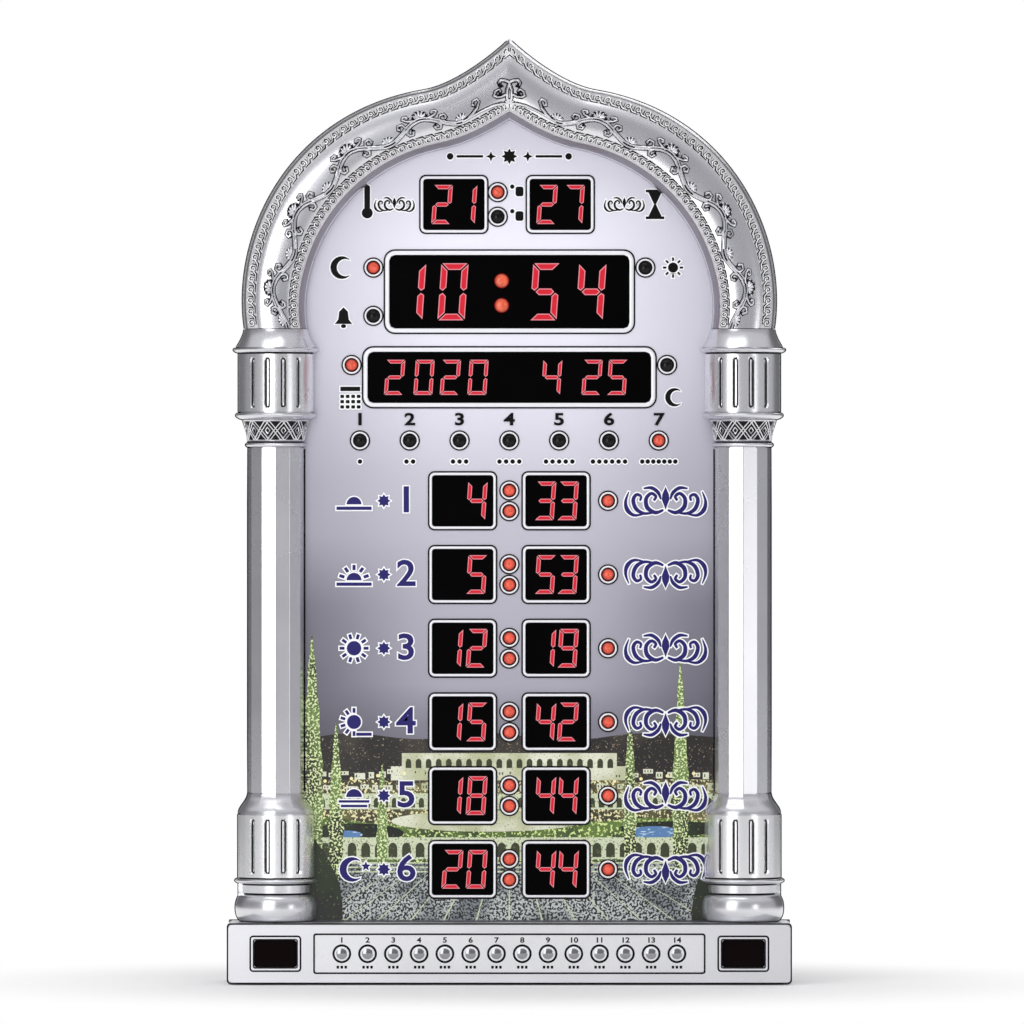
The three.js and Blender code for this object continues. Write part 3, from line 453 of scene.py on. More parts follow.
lamp_red = lamp_glow("lamp_lit_red_epoxy", (236, 92, 66), (128, 16, 14), 28.7, 30.0)
colon_heat = (MODULE_FRONT + 0.5, MODULE_FRONT + 1.45)
colon_red = lamp_glow("colon_lit_red_epoxy", (240, 104, 70), (128, 20, 14), *colon_heat)
lamp_black = moulded("lamp_unlit_smoked_epoxy", tint(8, 7, 8), 0.2, grain=0.05, gleam=0.25)
lit_set = ("lamps_lit", lit_lamps, lamp_red, "display_black")
repeated(lamp, lit_set, ("lamps_unlit", dark_lamps, lamp_black, "part_black"))
colon_rings = dome_rings(3.4, MODULE_FRONT, MODULE_FRONT + 0.1, MODULE_FRONT + 1.5)
colon_dome = stacked("colon_dome", 24, 0, 0, colon_rings)
colon_places = [(-3.5, CLOCK_HEIGHT + 5.0), (-3.5, CLOCK_HEIGHT - 6.2)]
repeated(colon_dome, ("clock_colon_domes", colon_places, colon_red, "display_black"))

# Face panel
# A moulded plate under a printed film. The film is lilac and palest round the clock window, with dark
# hills, a lit town and a paved court printed over its lower part in a design of its own.

HILL_TOP = 112.0
TOWN_TOP = 92.0
GARDEN_TOP = 74.0
COURT_TOP = 50.0
FILM_TOP = 430
# (height, shade) pairs for the film's lilac, up its middle and up its sides, in part print and in part
# painted shade
FILM_MIDDLE = [
    (100, 118), (118, 133), (136, 167), (190, 184), (231, 202),
    (262, 224), (300, 238), (338, 239), (400, 209),
]
FILM_SIDES = [
    (100, 83), (118, 89), (136, 105), (172, 120), (204, 163),
    (231, 172), (290, 205), (340, 209), (400, 198),
]


def worked(tree, operation, *values):
    """The result of a sum on numbers or outputs."""
    return node(tree, "Math", dict(enumerate(values)), operation=operation).outputs[0]


def ramped(tree, height, stops):
    """A lilac that runs through (height, shade) stops from the foot to the top."""
    limits = {"Value": height, "From Min": 0, "From Max": FILM_TOP * MM}
    ramp = node(tree, "ValToRGB", {"Fac": node(tree, "MapRange", limits).outputs["Result"]})
    marks = ramp.color_ramp.elements
    while len(marks) < len(stops):
        marks.new(0.5)
    for mark, (level, shade) in zip(marks, stops):
        mark.position = level / FILM_TOP
        mark.color = tint(shade, shade - 2, shade + 10)
    return ramp.outputs["Color"]


def film():
    """Lilac ink, palest round the clock window and deeper towards the sides and below, partly in print and
    partly as painted shade.
    """
    material, tree, shader, coords = new_finish("face_printed_film_and_painted_shade")
    place = node(tree, "SeparateXYZ", {"Vector": coords}).outputs
    outward = stepped(tree, worked(tree, "ABSOLUTE", place["X"]), 20 * MM, 96 * MM)
    lilac = mixed(tree, outward, ramped(tree, place["Z"], FILM_MIDDLE), ramped(tree, place["Z"], FILM_SIDES))
    hazy = mixed(tree, noise(tree, coords, 60.0, 3.0), lilac, tint(206, 204, 217))
    feed(tree, shader, {
        "Base Color": mixed(tree, 0.06, lilac, hazy),
        "Roughness": 0.34,
        "Normal": bumped(tree, noise(tree, coords, 900.0, 1.0), 0.12, 0.04),
        "Specular IOR Level": 0.3,
    })
    return material


dress(film(), "face_panel")

# Printed picture
# The ink of the film's lower part, in thin layers: hills with a lit town, a lit garden with an arcade
# and a pool, slender trees, and a court of small tiles. It is cut out round the row windows.

PANEL_FRONT = 28.5
INK = 0.012
MARK_SOFTNESS = 0.04
PANEL_HALF = 100.5
PANEL_FOOT = 28.2
ROW_WINDOW_X = 21.3
CUT_SIZE = (0.0294, 0.01, 0.0248)  # metres; a little less than the rim of a row window


def ink_layer(number):
    """The depths between which an ink layer lies, each on the one before."""
    return PANEL_FRONT - 0.05, PANEL_FRONT + number * INK


def window_cutter():
    """Boxes through the row windows, as one piece."""
    boxes = []
    for height in ROW_HEIGHTS[2:]:
        for side in (-1, 1):
            bpy.ops.object.select_all(action="DESELECT")
            place = at(side * ROW_WINDOW_X, height, PANEL_FRONT)
            bpy.ops.mesh.primitive_cube_add(size=1, location=place, scale=CUT_SIZE)
            boxes.append(bpy.context.object)
    joined("window_cutter", boxes[::-1])
    return in_place()


def cut_by(piece, cutter):
    selected(piece)
    cut = piece.modifiers.new("windows", "BOOLEAN")
    cut.operation, cut.solver, cut.object = "DIFFERENCE", "EXACT", cutter
    bpy.ops.object.modifier_apply(modifier=cut.name)
    return piece


def ink(name, ground, mark, scale, amount, third=None, stretch=(1, 1, 1)):
    """Printed ink: a ground colour with small marks of another, and a drifting third shade."""
    material, tree, shader, coords = new_finish(name)
    place = node(tree, "Mapping", {"Vector": coords, "Scale": stretch}).outputs["Vector"]
    grit = {"Vector": place, "Scale": scale, "Detail": 1.0, "Roughness": 0.6}
    cells = node(tree, "TexNoise", grit).outputs["Fac"]
    marks = stepped(tree, cells, 1 - amount - MARK_SOFTNESS, 1 - amount + MARK_SOFTNESS)
    drift = stepped(tree, noise(tree, coords, 45.0), 0.42, 0.62)
    base = mixed(tree, drift, tint(*ground), tint(*(third or ground)))
    colour = mixed(tree, marks, base, tint(*mark))
    feed(tree, shader, {"Base Color": colour, "Roughness": 0.34, "Coat Weight": 0.25})
    return material


def wavy(level, swell, waves, seed, count=100):
    """A rolling line across the panel, as (x, height) pairs from left to right."""
    chance = random.Random(seed)
    parts = [
        (chance.uniform(0.5, 1), waves * chance.uniform(0.6, 1.6), chance.uniform(0, 6.3)) for _ in range(5)
    ]
    line = []
    for x in spaced(-PANEL_HALF, PANEL_HALF, count):
        swings = [size * math.sin(rate * x / PANEL_HALF * math.pi + start) for size, rate, start in parts]
        line.append((x, level + swell * (sum(swings) / 3)))
    return line


def band(top_line, bottom):
    return [*top_line, (PANEL_HALF, bottom), (-PANEL_HALF, bottom)][::-1]


def strip(low, high):
    """A bar across the whole panel."""
    return [(-PANEL_HALF, low), (PANEL_HALF, low), (PANEL_HALF, high), (-PANEL_HALF, high)]


def tree_outline(x, foot, top, half):
    """A slender tree, widest a third of the way up."""
    side = []
    for step in range(15):
        rise = step / 14
        ragged = 0.86 + 0.14 * math.cos(step * 2.6)
        reach = half * ragged * (math.sin(math.pi * rise**0.62) ** 0.9) + 0.25
        side.append((reach, foot + (top - foot) * rise))
    return [(x + w, y) for w, y in side] + [(x - w, y) for w, y in reversed(side)]


def archway(x, foot, half, rise):
    """A doorway with a pointed head."""
    side = arc(0, foot + rise * 0.6, half, rise * 0.4, 0, 90, 6)
    head = [(x + w, y) for w, y in side] + [(x - w, y) for w, y in side[-2::-1]]
    return [(x - half, foot), (x + half, foot), *head]


def ellipse(x, y, across, up, steps=28):
    return arc(x, y, across, up, 0, 360, steps)[:-1]


hill_ink = ink("ink_dark_hills", (30, 26, 24), (168, 150, 122), 1300.0, 0.3, third=(56, 50, 42))
town_ink = ink("ink_lit_town", (58, 56, 34), (240, 232, 180), 950.0, 0.42, third=(112, 108, 62))
garden_ink = ink("ink_lit_garden", (96, 122, 52), (214, 232, 150), 700.0, 0.42, third=(52, 70, 34))
lawn_ink = ink("ink_dark_lawn", (13, 19, 8), (80, 104, 40), 620.0, 0.32, third=(30, 44, 16))
court_ink = ink("ink_tiled_court", (196, 202, 200), (24, 27, 30), 1000.0, 0.5, third=(122, 130, 134))
stone_ink = ink("ink_pale_stone", (208, 216, 184), (126, 138, 100), 1100.0, 0.4)
shade_ink = ink("ink_shaded_stone", (52, 58, 30), (120, 132, 70), 900.0, 0.3)
pool_ink = ink("ink_blue_pool", (86, 128, 178), (196, 220, 238), 800.0, 0.36, stretch=(0.4, 1, 1.6))
leaf_ink = ink("ink_lit_tree", (104, 132, 66), (226, 238, 178), 1000.0, 0.46, third=(30, 40, 20))
plaster_ink = ink("ink_lit_plaster", (226, 228, 206), (140, 140, 104), 1500.0, 0.34, third=(186, 190, 150))
glow_ink = ink("ink_warm_lantern", (250, 236, 170), (255, 250, 224), 900.0, 0.4)

cutter = window_cutter()
ARCADE_LOW = 56.0
arcade_doors = [archway(-PANEL_HALF + 4 + 6.2 * k, ARCADE_LOW + 1, 2.0, 6.6) for k in range(32)]
upper_doors = [archway(-PANEL_HALF + 3 + 4.1 * k, 79.6, 1.2, 4.4) for k in range(49)]
steps_lines = [strip(height, height + 0.7) for height in (50, 52, 54)]
paving_end = COURT_TOP - 1
paving_lines = [
    [(x - 0.4, PANEL_FOOT), (x + 0.4, PANEL_FOOT), (x * 0.62 + 0.2, paving_end), (x * 0.62 - 0.2, paving_end)]
    for x in range(-90, 91, 15)
]
chance = random.Random(21)
houses, house_windows = [], []
for low, high, tallest in ((86.4, 88.2, 3.6), (92.4, 95.2, 3.2)):
    x = -PANEL_HALF + 1
    while x < PANEL_HALF - 7:
        width, rise, foot = chance.uniform(2.2, 5.6), chance.uniform(1.7, tallest), chance.uniform(low, high)
        houses.append([(x, foot), (x + width, foot), (x + width, foot + rise), (x, foot + rise)])
        for left in (0.6, 1.9, 3.2):
            if left + 1.0 < width:
                window = [(0, 0.3), (0.55, 0.3), (0.55, 0.72), (0, 0.72)]
                house_windows.append([(x + left + across, foot + rise * up) for across, up in window])
        x += width + chance.uniform(0.5, 3.0)


def hedge(outer, inner, top, seed, steps=16):
    """A clipped bush at the picture's edge, tallest beside the column."""
    chance = random.Random(seed)
    rim = []
    for t in spaced(0, 1, steps):
        rise = (top - PANEL_FOOT - 3) * math.sqrt(1 - t * t * 0.98) + chance.uniform(0, 2.4)
        rim.append((outer + (inner - outer) * t, PANEL_FOOT + rise))
    return [(outer, PANEL_FOOT), *rim, (inner, PANEL_FOOT)]


trees = [
    (-90, 40, 158, 5.6), (-79, 44, 118, 3.6), (-58, 48, 99, 2.6),
    (93, 40, 86, 4.4), (78, 44, 146, 4.0), (55, 46, 124, 3.0),
]
terrace_doors = [archway(-46 + 4.6 * k, 97.6, 1.3, 4.2) for k in range(21)]
terrace = [(-54, 92), (54, 92), (54, 98.4), (49, 98.4), (49, 104.4), (-49, 104.4), (-49, 98.4), (-54, 98.4)]
lanterns = [(x, 93.4 + 2.4 * math.sin(x), 0.8) for x in range(-96, 100, 12)]
ink_pieces = [
    ("picture_hills", [band(wavy(HILL_TOP, 4.5, 2.0, 3), 60)], hill_ink),
    ("picture_town", [band(wavy(TOWN_TOP, 1.6, 4.0, 8), 60)], town_ink),
    ("picture_houses", houses, plaster_ink),
    ("picture_house_windows", house_windows, shade_ink),
    ("picture_terrace", [terrace], plaster_ink),
    ("picture_terrace_doors", terrace_doors, shade_ink),
    ("picture_upper_arcade", [strip(78.8, 86)], stone_ink),
    ("picture_upper_doors", upper_doors, shade_ink),
    ("picture_garden", [band(wavy(GARDEN_TOP, 1.8, 3.0, 5), 50)], garden_ink),
    ("picture_plaza", [ellipse(-10, 73.4, 44, 4.8)], plaster_ink),
    ("picture_lawn", [ellipse(-70, 68, 22, 4.4), ellipse(74, 70, 24, 3.4)], lawn_ink),
    ("picture_pool", [ellipse(66, 68.4, 12, 2.7), ellipse(-74, 67.2, 7, 1.9)], pool_ink),
    ("picture_arcade", [strip(ARCADE_LOW, 66)], stone_ink),
    ("picture_arcade_doors", arcade_doors, shade_ink),
    ("picture_court", [band(wavy(COURT_TOP + 4, 0.5, 2.0, 6), PANEL_FOOT)], court_ink),
    ("picture_steps", steps_lines + paving_lines, stone_ink),
    ("picture_trees", [tree_outline(*place) for place in trees], leaf_ink),
    ("picture_hedges", [hedge(-PANEL_HALF, -76, 71, 4), hedge(PANEL_HALF, 83, 60, 9)], lawn_ink),
    ("picture_lanterns", [ellipse(x, y, size, size, 10) for x, y, size in lanterns], glow_ink),
]
for layer, (name, outlines, material) in enumerate(ink_pieces, start=1):
    fit(cut_by(drawn(name, outlines, *ink_layer(layer)), cutter), material)
bpy.data.objects.remove(cutter)

# Window frames and lamp rings
# Raised silver rims, hot-stamped on the plate's mouldings, each inside a thin black printed line.
# A small ring of the same foil stands round every lamp, on a black printed disc.

RIM_TOP = 0.85
LINE_WIDTH = 0.65
LINE_RISE = 0.3
SMALL_WINDOW = (30.2, 25.6, 2.4, 1.1)  # width, height, corner and rim


def rounded(x, y, width, height, corner, steps=6):
    """A rounded rectangle's outline, anticlockwise from the front."""
    points = []
    for way, rise, start in ((1, -1, -90), (1, 1, 0), (-1, 1, 90), (-1, -1, 180)):
        middle = (x + way * (width / 2 - corner), y + rise * (height / 2 - corner))
        points += arc(*middle, corner, corner, start, start + 90, steps)
    return points


def rimmed(name, painted_shadow, depth, insets):
    """A ring inside an outline, formed by insets of (width, rise), and closed underneath."""
    form = bmesh.new()
    form.faces.new([form.verts.new(at(x, y, depth)) for x, y in painted_shadow])
    piece = built(name, form)
    bpy.ops.object.mode_set(mode="EDIT")
    bpy.ops.mesh.select_mode(type="FACE")
    bpy.ops.mesh.select_all(action="SELECT")
    for width, rise in insets:
        bpy.ops.mesh.inset(thickness=width * MM, depth=rise * MM)
    bpy.ops.mesh.delete(type="FACE")
    bpy.ops.mesh.select_mode(type="EDGE")
    bpy.ops.mesh.select_non_manifold()
    bpy.ops.mesh.bridge_edge_loops()
    return closed(piece, 50)


windows = [(x, TOP_HEIGHT, *SMALL_WINDOW) for x in (-25.3, 23.2)]
windows += [(side * ROW_WINDOW_X, height, *SMALL_WINDOW) for height in ROW_HEIGHTS for side in (-1, 1)]
windows += [(0, CLOCK_HEIGHT, 113.2, 37.2, 4.5, 1.8), (0, DATE_HEIGHT, 133, 27, 4.5, 1.8)]
rim_roll = [(0.22, 0.62), (0.26, RIM_TOP - 0.62), (0.3, 0), (0.26, -0.2), (0.06, -1.4)]
line_steps = [(0.02, LINE_RISE + 0.05), (LINE_WIDTH, 0), (0.02, -LINE_RISE)]
frames, lines = [], []
for number, (x, y, width, height, corner, rim) in enumerate(windows):
    grown = rounded(x, y, width + 0.3, height + 0.3, corner + 0.15)
    roll = [(rim * share, rise) for share, rise in rim_roll]
    frames.append(rimmed(f"frame_{number}", grown, PANEL_FRONT, roll))
    outer = rounded(x, y, width + 0.2 + 2 * LINE_WIDTH, height + 0.2 + 2 * LINE_WIDTH, corner + LINE_WIDTH)
    lines.append(rimmed(f"line_{number}", outer, PANEL_FRONT - 0.05, line_steps))
rim_foil = moulded("rim_silver_foil", tint(244, 244, 248), 0.3, metallic=0.2, mottle=0.05, grain=0.1)
# Black print, also used as painted shade along the front edge of the base.
print_and_shade_line_ink = moulded("printed_black_line_and_painted_shade", tint(12, 10, 13), 0.45, grain=0.1, gleam=0.15)
fit(joined("window_frames", frames), rim_foil)
fit(joined("window_outlines", lines), print_and_shade_line_ink)

line_top = PANEL_FRONT + LINE_RISE
disc = stacked("disc", 28, 0, 0, [(4.67, PANEL_FRONT - 0.05), (4.67, line_top), (2.9, line_top + 0.01)])
ring_roll = [(0.16, 0.4), (0.22, 0.14), (0.22, 0), (0.18, -0.16), (0.06, -0.3)]
ring = rimmed("ring", ellipse(0, 0, 4.05, 4.05, 28), line_top - 0.02, ring_roll)
repeated(disc, ("lamp_discs", lit_lamps + dark_lamps, print_and_shade_line_ink, "display_black"))
repeated(ring, ("lamp_rings", lit_lamps + dark_lamps, rim_foil, "frame_silver"))

# Printed marks
# Plain numbers and small pictograms, screen-printed in black or in dark blue, each on a white ground
# a little wider than itself so that it reads over the picture.

MARK_BASE = PANEL_FRONT + 21 * INK
HALO_RISE = 0.05
MARK_RISE = 0.1


def numbered(name, text, x, height, size, back, front, grow=0.0, wide=1.0):
    """A printed number, as a solid between two depths."""
    bpy.ops.object.select_all(action="DESELECT")
    bpy.ops.object.text_add(location=at(x, height, (back + front) / 2), rotation=(math.pi / 2, 0, 0))
    piece = bpy.context.object
    piece.name = name
    piece.data.body = text
    piece.data.size = size * MM
    piece.data.align_x, piece.data.align_y = "CENTER", "CENTER"
    piece.data.offset = grow * MM
    piece.data.extrude = (front - back) / 2 * MM
    piece.data.resolution_u = 4
    piece.scale = (wide, 1, 1)
    bpy.ops.object.convert(target="MESH")
    return in_place()


def scaled(painted_shadow, x, y, size):
    """A unit outline moved to its place."""
    return [(x + size * px, y + size * py) for px, py in painted_shadow]


def star(points, inner):
    turns = [math.pi * step / points + math.pi / 2 for step in range(2 * points)]
    reach = [1 if step % 2 == 0 else inner for step in range(2 * points)]
    return [(r * math.cos(turn), r * math.sin(turn)) for r, turn in zip(reach, turns)]


def crescent():
    return arc(0, 0, 1, 1, 50, 310, 14) + arc(0.32, 0, 0.76, 0.76, 300, 60, 14)


def spread(painted_shadow, amount):
    """An outline with every side moved out, and its sharp tips cut short."""
    way = -winding(painted_shadow)
    points = []
    for index, (x, y) in enumerate(painted_shadow):
        (px, py), (qx, qy) = painted_shadow[index - 1], painted_shadow[(index + 1) % len(painted_shadow)]
        first, second = Vector((x - px, y - py)), Vector((qx - x, qy - y))
        if first.length < 1e-6 or second.length < 1e-6:
            continue
        first.normalize()
        second.normalize()
        out = Vector((-(first.y + second.y), first.x + second.x)) * way
        if out.length < 1e-6:
            out = first
        out.normalize()
        straight = max(0.6, abs(out.dot(Vector((-first.y, first.x)))))
        points.append((x + out.x * amount / straight, y + out.y * amount / straight))
    return points


def bar(x0, y0, x1, y1, width):
    length = math.hypot(x1 - x0, y1 - y0)
    dx, dy = -(y1 - y0) / length * width / 2, (x1 - x0) / length * width / 2
    return [(x0 + dx, y0 + dy), (x0 - dx, y0 - dy), (x1 - dx, y1 - dy), (x1 + dx, y1 + dy)]


def level(x0, x1, y, width):
    return bar(x0, y, x1, y, width)


def sun(x, y, size, rays=8, low=0, high=360):
    """A disc with rays all round it, or rays alone from one angle to another."""
    near, far = (arc(x, y, reach, reach, low, high, rays) for reach in (size * 0.66, size))
    shapes = [bar(*start, *end, size * 0.2) for start, end in zip(near, far)]
    return shapes if low else [ellipse(x, y, size * 0.5, size * 0.5, 20), *shapes[:rays]]


def half_disc(x, y, size):
    return arc(x, y, size, size, 0, 180, 12)


mark_black = moulded("printed_black", tint(10, 9, 11), 0.45, grain=0.1, gleam=0.15)
mark_blue = moulded("printed_dark_blue", tint(40, 34, 104), 0.4, mottle=0.15, grain=0.1, gleam=0.2)
mark_white = moulded("printed_white", tint(250, 250, 252), 0.4, mottle=0.02, grain=0.1)

black_shapes = []
thermometer = [rounded(-64.8, 357.6, 2.6, 11.6, 1.3), ellipse(-64.8, 350.6, 2.5, 2.5, 20)]
hourglass = [
    level(62.2, 70.6, 360.6, 1.2), level(62.2, 70.6, 348.4, 1.2),
    [(63.4, 360), (69.4, 360), (66.8, 354.5), (69.4, 349), (63.4, 349), (66, 354.5)],
]
bell = [
    [(-79.6, 300), (-71.6, 300), (-73.2, 302), (-73.6, 305.6), (-75.6, 307.6), (-77.6, 305.6), (-78, 302)],
    ellipse(-75.6, 299, 1.2, 0.9, 12),
]
calendar_mark = [level(-77, -68, 270.4, 2.0)]
for day, week in itertools.product(range(4), range(3)):
    calendar_mark.append(rounded(-76.2 + 2.5 * day, 267 - 2.4 * week, 1.7, 1.5, 0.3, 2))
black_shapes += thermometer + hourglass + bell + calendar_mark
black_shapes += [scaled(crescent(), -76.4, CLOCK_HEIGHT + 11, 5.2), scaled(crescent(), 75.2, 266.6, 4.2)]
black_shapes += sun(74.6, CLOCK_HEIGHT + 11, 4.6)
for height in (360.4, 349.2):
    black_shapes += [ellipse(1.3, height + 2.2, 1.0, 1.0, 12), rounded(4.6, height, 3.6, 4.4, 1.0, 3)]
for day, (x, height) in enumerate(weekday_lamps):
    pitch = min(3.0, 17.6 / (day + 1))
    dots = [(x + pitch * (dot - day / 2), height - 9.6) for dot in range(day + 1)]
    black_shapes += [ellipse(*dot, 1.05, 1.05, 10) for dot in dots]
ORNAMENT_HEIGHT = 376.4
black_shapes.append(scaled(star(8, 0.62), 0, ORNAMENT_HEIGHT, 3.6))
for side in (-1, 1):
    black_shapes += [
        scaled(star(4, 0.4), side * 8.4, ORNAMENT_HEIGHT, 2.4),
        level(side * 12, side * 24, ORNAMENT_HEIGHT, 1.1),
        ellipse(side * 27, ORNAMENT_HEIGHT, 1.5, 1.5, 14),
    ]


def stroke(line, widths):
    """A brush stroke's outline: a smooth line through its points, swelling and thinning as the widths say."""
    fine, wide = [], []
    for index in range(len(line) - 1):
        before, after = line[max(index - 1, 0)], line[min(index + 2, len(line) - 1)]
        a, b = line[index], line[index + 1]
        for step in range(5):
            t = step / 5
            fine.append([
                0.5 * (
                    2 * a[k] + (b[k] - before[k]) * t
                    + (2 * before[k] - 5 * a[k] + 4 * b[k] - after[k]) * t * t
                    + (3 * a[k] - 3 * b[k] + after[k] - before[k]) * t**3
                )
                for k in (0, 1)
            ])
            wide.append(widths[index] + (widths[index + 1] - widths[index]) * t)
    fine.append(line[-1])
    wide.append(widths[-1])
    left, right = [], []
    for index, (x, y) in enumerate(fine):
        ax, ay = fine[max(index - 1, 0)]
        bx, by = fine[min(index + 1, len(fine) - 1)]
        length = math.hypot(bx - ax, by - ay) or 1
        nx, ny = -(by - ay) / length * wide[index] / 2, (bx - ax) / length * wide[index] / 2
        left.append((x + nx, y + ny))
        right.append((x - nx, y - ny))
    return left + right[::-1]


def arabesque(x, y, size, flip=1):
    """A traditional leaf scroll: a bud between two pairs of curling tendrils, with a leaf at each end."""
    half = [
        ([(0.15, -0.62), (0.7, -0.8), (1.25, -0.45), (1.32, 0.15), (0.98, 0.5), (0.66, 0.3), (0.8, 0.02)],
         [0.14, 0.26, 0.3, 0.26, 0.22, 0.2, 0.16]),
        ([(0.75, -0.78), (1.45, -0.86), (2.0, -0.55), (2.2, 0.05), (1.98, 0.42), (1.68, 0.3), (1.74, 0.0)],
         [0.12, 0.2, 0.28, 0.26, 0.22, 0.18, 0.14]),
        ([(1.5, -0.9), (2.15, -0.98), (2.6, -0.62), (2.72, -0.05), (2.5, 0.62)], [0.1, 0.2, 0.3, 0.2, 0.06]),
        ([(0.32, 0.1), (0.5, 0.55), (0.95, 0.88), (1.5, 0.84)], [0.1, 0.24, 0.24, 0.1]),
    ]
    bud = [(0, 0.95), (0.22, 0.45), (0.26, 0.1), (0, -0.6), (-0.26, 0.1), (-0.22, 0.45)]
    placed = lambda points, side: [(x + side * size * px, y + flip * size * py) for px, py in points]
    shapes = []
    for side, (line, widths) in itertools.product((-1, 1), half):
        shapes.append(stroke(placed(line, side), [size * width for width in widths]))
    return [*shapes, placed(bud, 1)]


for side in (-1, 1):
    black_shapes += arabesque(side * 52.4, 354.6, 3.3)
mark_front = MARK_BASE + HALO_RISE + MARK_RISE
halo_front = MARK_BASE + HALO_RISE


def printed(name, ground_name, shapes, margin, material):
    """Fits marks, and a white ground that is wider than each mark by a margin."""
    fit(drawn(name, shapes, PANEL_FRONT, mark_front), material)
    grounds = [spread(shape, margin) for shape in shapes]
    fit(drawn(ground_name, grounds, PANEL_FRONT, halo_front), mark_white)


printed("marks_black", "marks_black_ground", black_shapes, 0.55, mark_black)
day_numbers = [
    numbered(f"day_{day}", str(day + 1), x, height + 9.4, 7.6, PANEL_FRONT, mark_front, grow=0.22, wide=1.3)
    for day, (x, height) in enumerate(weekday_lamps)
]
fit(joined("weekday_numbers", day_numbers), mark_black)

blue_shapes = []
signs = [
    lambda x, y: [half_disc(x, y - 1.6, 3.4), level(x - 8, x + 8, y - 3.4, 1.5)],
    lambda x, y: [
        half_disc(x, y - 2.6, 3.4), level(x - 8, x + 8, y - 4.4, 1.5), *sun(x, y - 2.6, 7, 4, 18, 162),
    ],
    lambda x, y: sun(x, y, 6.6, 10),
    lambda x, y: [
        ellipse(x, y, 3.2, 3.2, 20), *sun(x, y, 6.4, 5, 90, 270), level(x + 1, x + 8, y - 5.6, 1.4),
    ],
    lambda x, y: [
        half_disc(x, y - 0.6, 3.6), level(x - 7, x + 7, y - 2.6, 1.1), level(x - 6, x + 6, y - 4.7, 1.1),
    ],
    lambda x, y: [scaled(crescent(), x - 1, y, 5.6), scaled(star(5, 0.45), x + 5.4, y + 1.4, 2.3)],
]
row_numbers, row_grounds, scrolls = [], [], []
for row, height in enumerate(ROW_HEIGHTS):
    blue_shapes += signs[row](-70.8, height)
    blue_shapes.append(scaled(star(8, 0.66), -57.2, height, 3.0))
    label = (str(row + 1), -47.0, height, 16.5)
    row_grounds.append(numbered(f"ground_{row}", *label, PANEL_FRONT, halo_front, grow=0.85, wide=1.1))
    row_numbers.append(numbered(f"number_{row}", *label, PANEL_FRONT, mark_front, grow=0.3, wide=1.1))
    scrolls += arabesque(71.2, height, 6.7, (-1) ** row)
printed("row_signs", "row_sign_grounds", blue_shapes + scrolls, 0.6, mark_blue)
fit(joined("row_numbers", row_numbers), mark_blue)
fit(joined("row_number_grounds", row_grounds), mark_white)

# Columns
# Two hollow ABS mouldings, vacuum-metallised and lacquered: a swelling foot, a fluted drum, a faceted
# shaft, a neck with a lattice in relief and a second drum. Each is screwed on from behind.

RELIEF_DEPTH = 28.8
SKIRT_BACK = 12.3
COLUMN_X = 106.3
FLUTE_ANGLES = [math.radians(degrees) for degrees in (-37.5, -12.5, 12.5, 37.5)]
SHAFT_FACES = 12
SHAFT_RADIUS = 12.9
SHAFT_FOOT, SHAFT_TOP = 76.41, 244.0  # between which the rings turn from round to faceted
LIP_REACH = 17.2
DRUMS = ((48.0, 76.4, 17.4), (260.0, 286.2, 17.2))  # foot, top and radius
NECK = (246.6, 256.4)


def lofted(name, rings):
    """A skin over closed rings of points, with a cap on each end."""
    form = bmesh.new()
    grid = [[form.verts.new(point) for point in ring] for ring in rings]
    for low, high in zip(grid, grid[1:]):
        for index in range(len(low)):
            after = (index + 1) % len(low)
            form.faces.new((low[index], low[after], high[after], high[index]))
    form.faces.new(grid[0])
    form.faces.new(grid[-1])
    bmesh.ops.recalc_face_normals(form, faces=form.faces)
    piece = built(name, form)
    bpy.ops.object.shade_smooth_by_angle(angle=math.radians(32))
    return piece


def facet(angle):
    """How far a twelve-sided shaft reaches at an angle, as a share of its corners' reach."""
    face = 2 * math.pi / SHAFT_FACES
    return math.cos(face / 2) / math.cos(angle % face - face / 2)


def eased(low, high, count, shape):
    """Levels between two (height, radius) pairs, with the radius eased by a shape from 0 to 1."""
    (y0, r0), (y1, r1) = low, high
    return [(y0 + (y1 - y0) * k / count, r0 + (r1 - r0) * shape(k / count)) for k in range(1, count + 1)]


def lip(low, high, radius, count=8):
    """A rounded band between two (height, radius) levels."""
    swell = radius - (low[1] + high[1]) / 2
    bulges = [swell * math.sin(turn) ** 0.7 for turn in spaced(0, math.pi, count)]
    heights, reaches = (spaced(low[k], high[k], count) for k in (0, 1))
    return [(y, reach + bulge) for y, reach, bulge in zip(heights, reaches, bulges)][1:]


def crevice(low, high, depth=0.9):
    """A sharp groove between two (height, radius) levels."""
    reach = min(low[1], high[1]) - depth
    width = high[0] - low[0]
    return [(low[0] + 0.1 * width, reach), (high[0] - 0.1 * width, reach), high]


def drum(low, high, count=26):
    """A straight wall between two levels, with its rings closer together at its ends."""
    share = lambda k: (1 - math.cos(math.pi * k / count)) / 2
    return [(low[0] + (high[0] - low[0]) * share(k), high[1]) for k in range(1, count + 1)]


